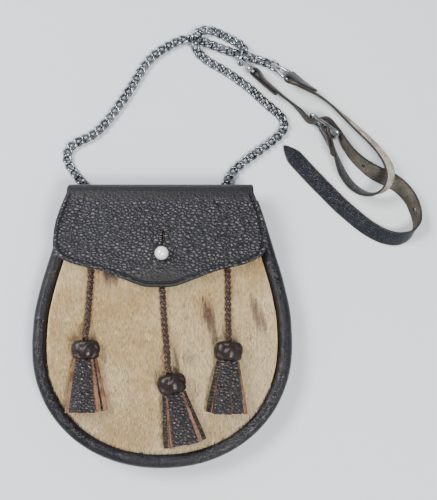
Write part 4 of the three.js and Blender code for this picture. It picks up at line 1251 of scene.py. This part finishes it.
strap = {
    "width": 12,
    "thickness": 2,
    "fold": 22,
    "foldSettle": 9,
    "holeDiameter": 3,
    "holePitch": 25.4,
    "holeCount": 5,
    "tipLength": 12,
    "tipEnd": 0.14,
    "ringWire": 2.2,
    "ringLength": 13,
    "ringNarrow": 8,
    "ringCorner": 1.2,
    "step": 1.6,
    "edge": 1.6,
}
buckle = {
    "x": 116.2,
    "y": 143.9,
    "turn": -37,
    "length": 24,
    "wire": 2.4,
    "slack": 0.4,
    "corner": 2.6,
    "prongWire": 1.7,
    "prongReach": 13.6,
    "slotLength": 16,
    "piercedShare": 0.4,
}
buckleAngle = math.radians(buckle["turn"])
buckleTall = strap["width"] + 2 * buckle["slack"] + buckle["wire"]
strapInBuckle = buckle["wire"] + buckle["slack"]
clearOfBar = buckle["wire"] / 2 + 2 * seat + strap["thickness"] / 2
clearOfFold = buckle["wire"] / 2 + 2 * seat + 1.5 * strap["thickness"]
buckleAlong = Vector((math.cos(buckleAngle), math.sin(buckleAngle), 0))
buckleOver = Vector((-buckleAlong.y, buckleAlong.x, 0))
buckleCentre = Vector((buckle["x"], buckle["y"], (buckleTall + buckle["wire"]) / 2))


def weaveRow(along, bar, fold):
    # a row where the strap passes the buckle: along it, and clear of its bar or of the fold round that
    spot = buckleCentre + buckleAlong * along * buckle["length"] / 2
    spot += buckleOver * (bar * clearOfBar + fold * clearOfFold)
    return (spot.x, spot.y, 90, strapInBuckle)


# rows of x, y, lean in degrees and lift
longRoute = [
    (66.3, 186, 112, 2.5),
    (75.4, 178, 114, 1.6),
    (84.8, 169.6, 112, 1.2),
    (93.6, 161.7, 105, 1.6),
    (99.6, 155.4, 95, 2.6),
    weaveRow(-1, -1, 0),
    weaveRow(-0.71, -0.45, 0),
    weaveRow(-0.46, 0, 0.35),
    weaveRow(-0.27, 0, 0.97),
    weaveRow(0, 0, 1.22),
    weaveRow(0.33, 0, 1.12),
    weaveRow(0.67, 0, 0.85),
    weaveRow(1, 1.05, 0),
    (131.6, 131.2, 78, 1.6),
    (137.4, 123.2, 70, 0.2),
    (144.6, 116.2, 60, 0),
    (152.6, 110.6, 42, 0),
    (161.6, 106.4, 33, 0),
    (170.6, 100.4, 42, 0),
    (177.8, 91.6, 52, 0),
    (181.6, 81.6, 60, 0),
    (182.2, 72.4, 76, 0),
    (177.6, 64.4, 104, 0),
    (168.6, 61, 128, 0),
    (158.6, 63, 142, 0),
    (148, 68.8, 152, 0),
    (137.4, 77.4, 158, 0),
    (126.8, 87.2, 160, 0),
    (117.2, 97.4, 162, 0),
    (107.6, 107.8, 166, 0),
    (98.2, 118.6, 170, 0),
    (87.4, 131.4, 172, 0),
]
shortRoute = [
    (92.2, 182.4, 130, 2.6),
    (98.6, 177.4, 126, 1.6),
    (106.4, 172.6, 116, 0.6),
    (114.4, 167.8, 108, 0),
    (123.4, 160.6, 110, 0),
    (132.8, 151.2, 118, 0.6),
    (141.8, 141.4, 124, 2.6),
    (150.2, 131.4, 126, 5.6),
    (157.2, 121.4, 130, 8.6),
    (161.6, 111.6, 133, 10),
    (161.8, 102.4, 124, 9.6),
    (157, 95.2, 98, 7),
    (149.6, 92.8, 70, 4),
    (142, 95.2, 54, 1.6),
    (135.4, 100.8, 49, 0.4),
    (130.2, 108.6, 51, 0),
    (126.6, 117.4, 60, 0.4),
    (123.4, 127.4, 76, 1.6),
    (120.2, 135.6, 89, 2.8),
    (buckle["x"], buckle["y"], 90, strapInBuckle),
]


class StrapLine(Route):
    # a strap's middle line: at each distance its centre, the way ahead, its width's way and its face's way
    def __init__(self, rows):
        super().__init__([(x, y, 0) for x, y, _, _ in rows], [(lean, lift, 0) for _, _, lean, lift in rows])

    def station(self, distance):
        centre, ahead, attitude = self.at(distance), self.ahead(distance), self.also(distance)
        angle = math.radians(attitude.x)
        left = Vector((0, 0, 1)).cross(ahead).normalized()
        width = left * math.cos(angle) + Vector((0, 0, 1)) * math.sin(angle)
        tall = strap["width"] * abs(math.sin(angle)) + strap["thickness"] * abs(math.cos(angle))
        centre.z = tall / 2 + max(0.0, attitude.y)
        return centre, ahead, width, ahead.cross(width).normalized()


def strapStations(line, foldSide, startBar, endBar):
    def eye(bar):
        return bar / 2 + seat + strap["thickness"] / 2

    stations = []

    def layer(distance, offset, width=1.0):
        centre, _, across, face = line.station(distance)
        stations.append((centre + face * offset, across, width))

    def loop(distance, bar, direction):
        centre, ahead, across, face = line.station(distance)
        for k in range(1, 12):
            angle = k / 12 * math.pi
            spot = centre + face * direction * foldSide * eye(bar) * math.cos(angle)
            stations.append((spot - ahead * direction * eye(bar) * math.sin(angle), across, 1.0))

    def mainOffset(distance, bar):
        return -foldSide * eye(bar) * (1 - ease(distance / strap["foldSettle"]))

    def backOffset(distance, bar):
        share = ease(distance / strap["foldSettle"])
        return foldSide * (eye(bar) * (1 - share) + (strap["thickness"] + seat) * share)

    steps = 10
    inwards = [strap["fold"] * (1 - k / steps) for k in range(steps + 1)]
    outwards = inwards[::-1]
    for distance in inwards:
        layer(distance, backOffset(distance, startBar))
    loop(0, startBar, 1)
    for distance in outwards:
        layer(distance, mainOffset(distance, startBar))
    plainEnd = line.length - (strap["fold"] if endBar else strap["tipLength"])
    count = round((plainEnd - strap["fold"]) / strap["step"])
    for k in range(1, count):
        layer(mix(strap["fold"], plainEnd, k / count), 0)
    if endBar:
        for distance in inwards:
            layer(line.length - distance, mainOffset(distance, endBar))
        loop(line.length, endBar, -1)
        for distance in outwards:
            layer(line.length - distance, backOffset(distance, endBar))
    else:
        for k in range(9):
            share = k / 8
            layer(mix(plainEnd, line.length, share), 0, mix(1, strap["tipEnd"], share ** 1.5))
    return stations


def strapMesh(mesh, stations, grainSide):
    # a band through the stations; grainSide is 1 where its grain lies on the face's side
    sides = 16
    section = sectionRing(sides, 1.0, 1.0)
    last = len(stations) - 1

    def place(u, v):
        i = round(v * last)
        centre, across, width = stations[i]
        before, after = stations[max(0, i - 1)][0], stations[min(last, i + 1)][0]
        face = (after - before).cross(across).normalized()
        a, b = section[round(u * sides) % sides]
        return centre + across * strap["width"] * width * a + face * strap["thickness"] * b

    length = sum((b[0] - a[0]).length for a, b in zip(stations, stations[1:]))
    made, faces, shares = gridOnto(mesh, sides, last, place, (28, length))
    slots = {grainSide: 0, -grainSide: 1, 0: 2}  # grain, flesh and edge
    for face in faces:
        face.material_index = slots[faceSide(face, shares, sides, strap["edge"])]
    closeEnds(mesh, made)


def rod(mesh, start, end, diameter, sides=16):
    ahead = end - start
    turn = Vector((0, 0, 1)).rotation_difference(ahead).to_matrix().to_4x4()
    bmesh.ops.create_cone(
        mesh, cap_ends=True, segments=sides, radius1=diameter / 2, radius2=diameter / 2, depth=ahead.length,
        matrix=Matrix.Translation((start + end) / 2) @ turn,
    )


longLine = StrapLine(longRoute)
shortLine = StrapLine(shortRoute)
prongEye = buckle["wire"] + 2 * seat + buckle["prongWire"]
prongRoot = buckleCentre - buckleAlong * prongEye / 2
prongTip = (
    buckleCentre
    - buckleAlong * buckle["prongReach"]
    + buckleOver * (buckle["wire"] / 2 + seat + buckle["prongWire"] / 2)
)


def makeLongStrap():
    mesh = bmesh.new()
    strapMesh(mesh, strapStations(longLine, 1, strap["ringWire"], 0), -1)
    piece = finishPiece(mesh, "longStrap", ["strap", "strapFlesh", "strapEdge"], ["long_strap"])
    cutter = bmesh.new()
    rod(cutter, prongRoot, prongTip, buckle["prongWire"] + 3 * seat)
    target = prongRoot.lerp(prongTip, buckle["piercedShare"])
    spots = [longLine.length * k / 400 for k in range(401)]
    pierced = min(spots, key=lambda distance: (longLine.station(distance)[0] - target).length)
    for k in range(1, strap["holeCount"]):
        centre, _, _, face = longLine.station(pierced + k * strap["holePitch"])
        rod(cutter, centre - face * 3, centre + face * 3, strap["holeDiameter"], 20)
    cutWith(piece, cutter, "strapEdge")


def makeBuckleStrap():
    mesh = bmesh.new()
    strapMesh(mesh, strapStations(shortLine, -1, strap["ringWire"], buckle["wire"]), 1)
    materials = ["strap", "strapSuede", "strapEdge"]
    piece = finishPiece(mesh, "buckleStrap", materials, ["buckle_strap"])
    cutter = bmesh.new()
    made = bmesh.ops.create_cube(cutter, size=1)["verts"]
    tall = buckle["prongWire"] + 4 * seat
    bmesh.ops.scale(cutter, vec=(buckle["slotLength"], buckle["slotLength"], tall), verts=made)
    bmesh.ops.rotate(cutter, matrix=Matrix.Rotation(buckleAngle, 3, "Z"), verts=made)
    bmesh.ops.translate(cutter, vec=buckleCentre, verts=made)
    cutWith(piece, cutter, "strapEdge")


def makeBuckle():
    mesh = bmesh.new()
    a, b = buckle["length"] / 2, buckleTall / 2
    corners = roundedCorners([(a, -b), (a, b), (-a, b), (-a, -b)], buckle["corner"])
    flatLoop(mesh, corners, buckleCentre, buckleAlong, Vector((0, 0, 1)), buckle["wire"])
    rod(mesh, buckleCentre - Vector((0, 0, b)), buckleCentre + Vector((0, 0, b)), buckle["wire"])
    return finishPiece(mesh, "buckleFrame", ["nickel"], ["buckle"], sharp=60)


def makeProng():
    mesh = bmesh.new()
    ring = ovalPoints(prongEye, prongEye, 24)
    flatLoop(mesh, ring, buckleCentre, buckleAlong, buckleOver, buckle["prongWire"])
    rod(mesh, prongRoot, prongTip, buckle["prongWire"])
    return finishPiece(mesh, "buckleProng", ["nickel"], ["buckle_prong"], sharp=60)


def strapRing(name, line, node):
    mesh = bmesh.new()
    centre, ahead, width, _ = line.station(0)
    wide = strap["width"] / 2 + 2 * seat + strap["ringWire"] / 2
    reach = strap["ringWire"] / 2 + 2 * seat + strap["thickness"]
    half = [(0, wide), (reach, wide), (strap["ringLength"], strap["ringNarrow"] / 2)]
    corners = [(u, -v) for u, v in half] + half[::-1]
    flatLoop(mesh, roundedCorners(corners, strap["ringCorner"]), centre, -ahead, width, strap["ringWire"])
    finishPiece(mesh, name, ["nickel"], [node], sharp=60)
    return centre - ahead * strap["ringLength"]


makeLongStrap()
makeBuckleStrap()
makeBuckle()
makeProng()
longNarrowEnd = strapRing("strapRingLong", longLine, "strap_ring_long")
shortNarrowEnd = strapRing("strapRingShort", shortLine, "strap_ring_short")
print("straps made")


# Chains

chain = {
    "pitch": 6,
    "width": 7.2,
    "wire": 1.7,
    "drawnWire": 2.4,
    "twist": 1.25,
    "fuse": 0.86,
    "wireInLink": 0.4,
    "endRing": (6, 6, 1.6),  # length, width and wire
    "oval": (8.8, 6.6, 1.9),
    "ovalTilt": 46,
    "leftAngle": 2.35,
    "rightAngle": 1.75,
    # routes as rows of x, y and lift
    "left": [
        (-55.4, 98, 0.9), (-60.5, 103.2, 0), (-66.8, 110.6, 0), (-72, 119.6, 0), (-71.9, 128, 0),
        (-64.8, 134.2, 0), (-56.4, 137.8, 0), (-48.2, 144.4, 0), (-40.6, 154.2, 0), (-33.7, 164.2, 0),
        (-27.1, 174.6, 0), (-21.5, 184.6, 0), (-15.6, 194.6, 0), (-7.6, 203.2, 0), (2.5, 209.6, 0),
        (12.6, 214.2, 0), (21.6, 214.2, 0), (31.2, 210.8, 0), (42.5, 206.4, 0), (52.4, 202.8, 0),
        (61.4, 200.2, 0), (69.9, 197.4, 0.3),
    ],
    "right": [
        (43.9, 101.6, 1.2), (47.2, 108.6, 0), (56.6, 118, 0), (70.7, 128.9, 0), (80.2, 136.2, 0),
        (87.2, 143.4, 0), (87.2, 151.2, 0), (74.1, 164, 0), (62.2, 175.5, 0), (50.5, 184.6, 0),
        (40, 191.8, 0), (29.4, 198.2, 0), (22.6, 204.4, 1.8), (21, 210.6, 4.6), (22.6, 217, 4.2),
        (29, 221.6, 0.6), (36.6, 220.6, 0), (45.4, 216, 0), (52.4, 211.6, 1.8), (57.4, 206.8, 4.2),
        (59.2, 201.4, 5),
    ],
}
linkRest = chain["twist"] + chain["wire"] / 2 + seat
linkOverhang = chain["fuse"] * chain["wire"] / 2


def makeLink(mesh, centre, ahead, length, twist):
    across = Vector((0, 0, 1)).cross(ahead).normalized()
    high = ahead.cross(across).normalized()
    a, b = (length - chain["wire"]) / 2, (chain["width"] - chain["drawnWire"]) / 2
    count = 16

    def spot(angle):
        flat = centre + ahead * a * math.cos(angle) + across * b * math.sin(angle)
        return flat + high * twist * math.sin(2 * angle)

    stations = []
    for k in range(count):
        angle = 2 * math.pi * k / count
        point = spot(angle)
        pull = (spot(angle + 0.05) - spot(angle - 0.05)).normalized()
        out = point - centre
        out = (out - pull * out.dot(pull)).normalized()
        stations.append((point, out * chain["drawnWire"] / 2, pull.cross(out) * chain["drawnWire"] / 2))
    sweep(mesh, stations, 8, closed=True)


def laidOut(points):
    return [Vector((x, y, linkRest + lift)) for x, y, lift in points]


def makeLinks(mesh, points, twist):
    curve = Route(points)
    count = round(curve.length / chain["pitch"])
    length = curve.length / count + 2 * linkOverhang + chain["wire"]
    for k in range(count):
        start, end = curve.at(curve.length * k / count), curve.at(curve.length * (k + 1) / count)
        makeLink(mesh, (start + end) / 2, (end - start).normalized(), length, twist)


def endRing(mesh, wirePoint, heading, high, size, held):
    length, width, wire = size
    centre = wirePoint + heading * (length / 2 - (wire + held) / 2 - seat)
    flatLoop(mesh, ovalPoints(length, width, 32), centre, heading, high, wire)
    reach = length / 2 - chain["fuse"] * (wire + chain["wire"]) / 2 + linkOverhang
    return centre + heading * reach


def dEndRing(mesh, side, angle, points):
    centre, ahead = dRingAxes(side)
    u, v = dRingPoint(angle)
    wirePoint = centre + Vector((u, 0, 0)) + ahead * v
    heading = points[0] - wirePoint
    heading.z = 0
    size = chain["endRing"]
    return endRing(mesh, wirePoint, heading.normalized(), Vector((0, 0, 1)), size, dRing["wire"])


def makeLeftChain():
    mesh = bmesh.new()
    points = laidOut(chain["left"])
    start = dEndRing(mesh, -1, chain["leftAngle"], points)
    heading = (points[-1] - shortNarrowEnd).normalized()
    across = heading.cross(Vector((0, 0, 1))).normalized()
    high = across.cross(heading)
    tilt = math.radians(chain["ovalTilt"])
    plane = across * math.cos(tilt) + high * math.sin(tilt)
    end = endRing(mesh, shortNarrowEnd, heading, plane, chain["oval"], strap["ringWire"])
    makeLinks(mesh, [start, *points, end], -chain["twist"])
    return finishPiece(mesh, "chainLeft", ["darkNickel"], ["chain_left"], sharp=180)


def makeRightChain():
    mesh = bmesh.new()
    points = laidOut(chain["right"])
    start = dEndRing(mesh, 1, chain["rightAngle"], points)
    heading = (longNarrowEnd - points[-1]).normalized()
    end = longNarrowEnd + heading * (chain["pitch"] / 2 - chain["wireInLink"])
    makeLinks(mesh, [start, *points, end], chain["twist"])
    return finishPiece(mesh, "chainRight", ["darkNickel"], ["chain_right"], sharp=180)


makeLeftChain()
makeRightChain()
print("chains made")


# Floor, light and camera

studio = {
    "floor": ("dfe2e4", "e3e6e8"),
    "around": (0.84, 0.92, 1.0, 1.0),
    "above": (0.1, 0.11, 0.12, 1.0),
    "ceiling": (0.5, 0.93),  # how high the darker ceiling starts and is full, as a share
    "skyStrength": 0.9,
    "lights": [
        # name, place, size, power and colour
        ("window", (-0.75, 0.42, 1.1), (0.7, 0.5), 22, (1, 1, 1)),
        ("room", (0.45, -0.55, 1.2), (0.45, 0.4), 20, (1, 0.98, 0.95)),
    ],
    "target": (0.039, 0.0537, 0),
    "distance": 0.64,
    "elevation": 80,
    "lens": 63.6,
}


def makeFloor():
    mesh = bmesh.new()
    bmesh.ops.create_grid(mesh, x_segments=2, y_segments=2, size=3)
    piece = addObject(mesh, "floor")
    paint = Paint("floorPaper")
    colour = paint.blend(*(tone(code) for code in studio["floor"]), paint.cloud(3.0, 2))
    piece.data.materials.append(paint.set(colour=colour, roughness=0.75))


def addLight(name, place, size, power, colour):
    data = bpy.data.lights.new(name, "AREA")
    data.shape, data.size, data.size_y, data.energy, data.color = "RECTANGLE", *size, power, colour
    lamp = bpy.data.objects.new(name, data)
    lamp.location = place
    aim = Vector(studio["target"]) - Vector(place)
    lamp.rotation_euler = aim.to_track_quat("-Z", "Y").to_euler()
    bpy.context.scene.collection.objects.link(lamp)


def makeCamera():
    data = bpy.data.cameras.new("camera")
    data.sensor_fit, data.sensor_width, data.sensor_height, data.lens = "AUTO", 36, 24, studio["lens"]
    angle = math.radians(studio["elevation"])
    away = Vector((0, -math.cos(angle), math.sin(angle)))
    camera = bpy.data.objects.new("camera", data)
    camera.location = Vector(studio["target"]) + away * studio["distance"]
    camera.rotation_euler = (-away).to_track_quat("-Z", "Y").to_euler()
    bpy.context.scene.collection.objects.link(camera)
    bpy.context.scene.camera = camera


def makeWorld():
    # a bright room with a darker ceiling
    world = bpy.data.worlds.new("studio")
    room = Nodes(world, "Generated")
    height = room.node("ShaderNodeSeparateXYZ", None, {0: room.place}, out="Z")
    colour = room.blend(studio["around"], studio["above"], room.steps(height, *studio["ceiling"]))
    sky = room.tree.nodes["Background"]
    room.feed(sky.inputs["Color"], colour)
    room.feed(sky.inputs["Strength"], studio["skyStrength"])
    bpy.context.scene.world = world


makeFloor()
makeWorld()
makeCamera()
for light in studio["lights"]:
    addLight(*light)
print("studio made")
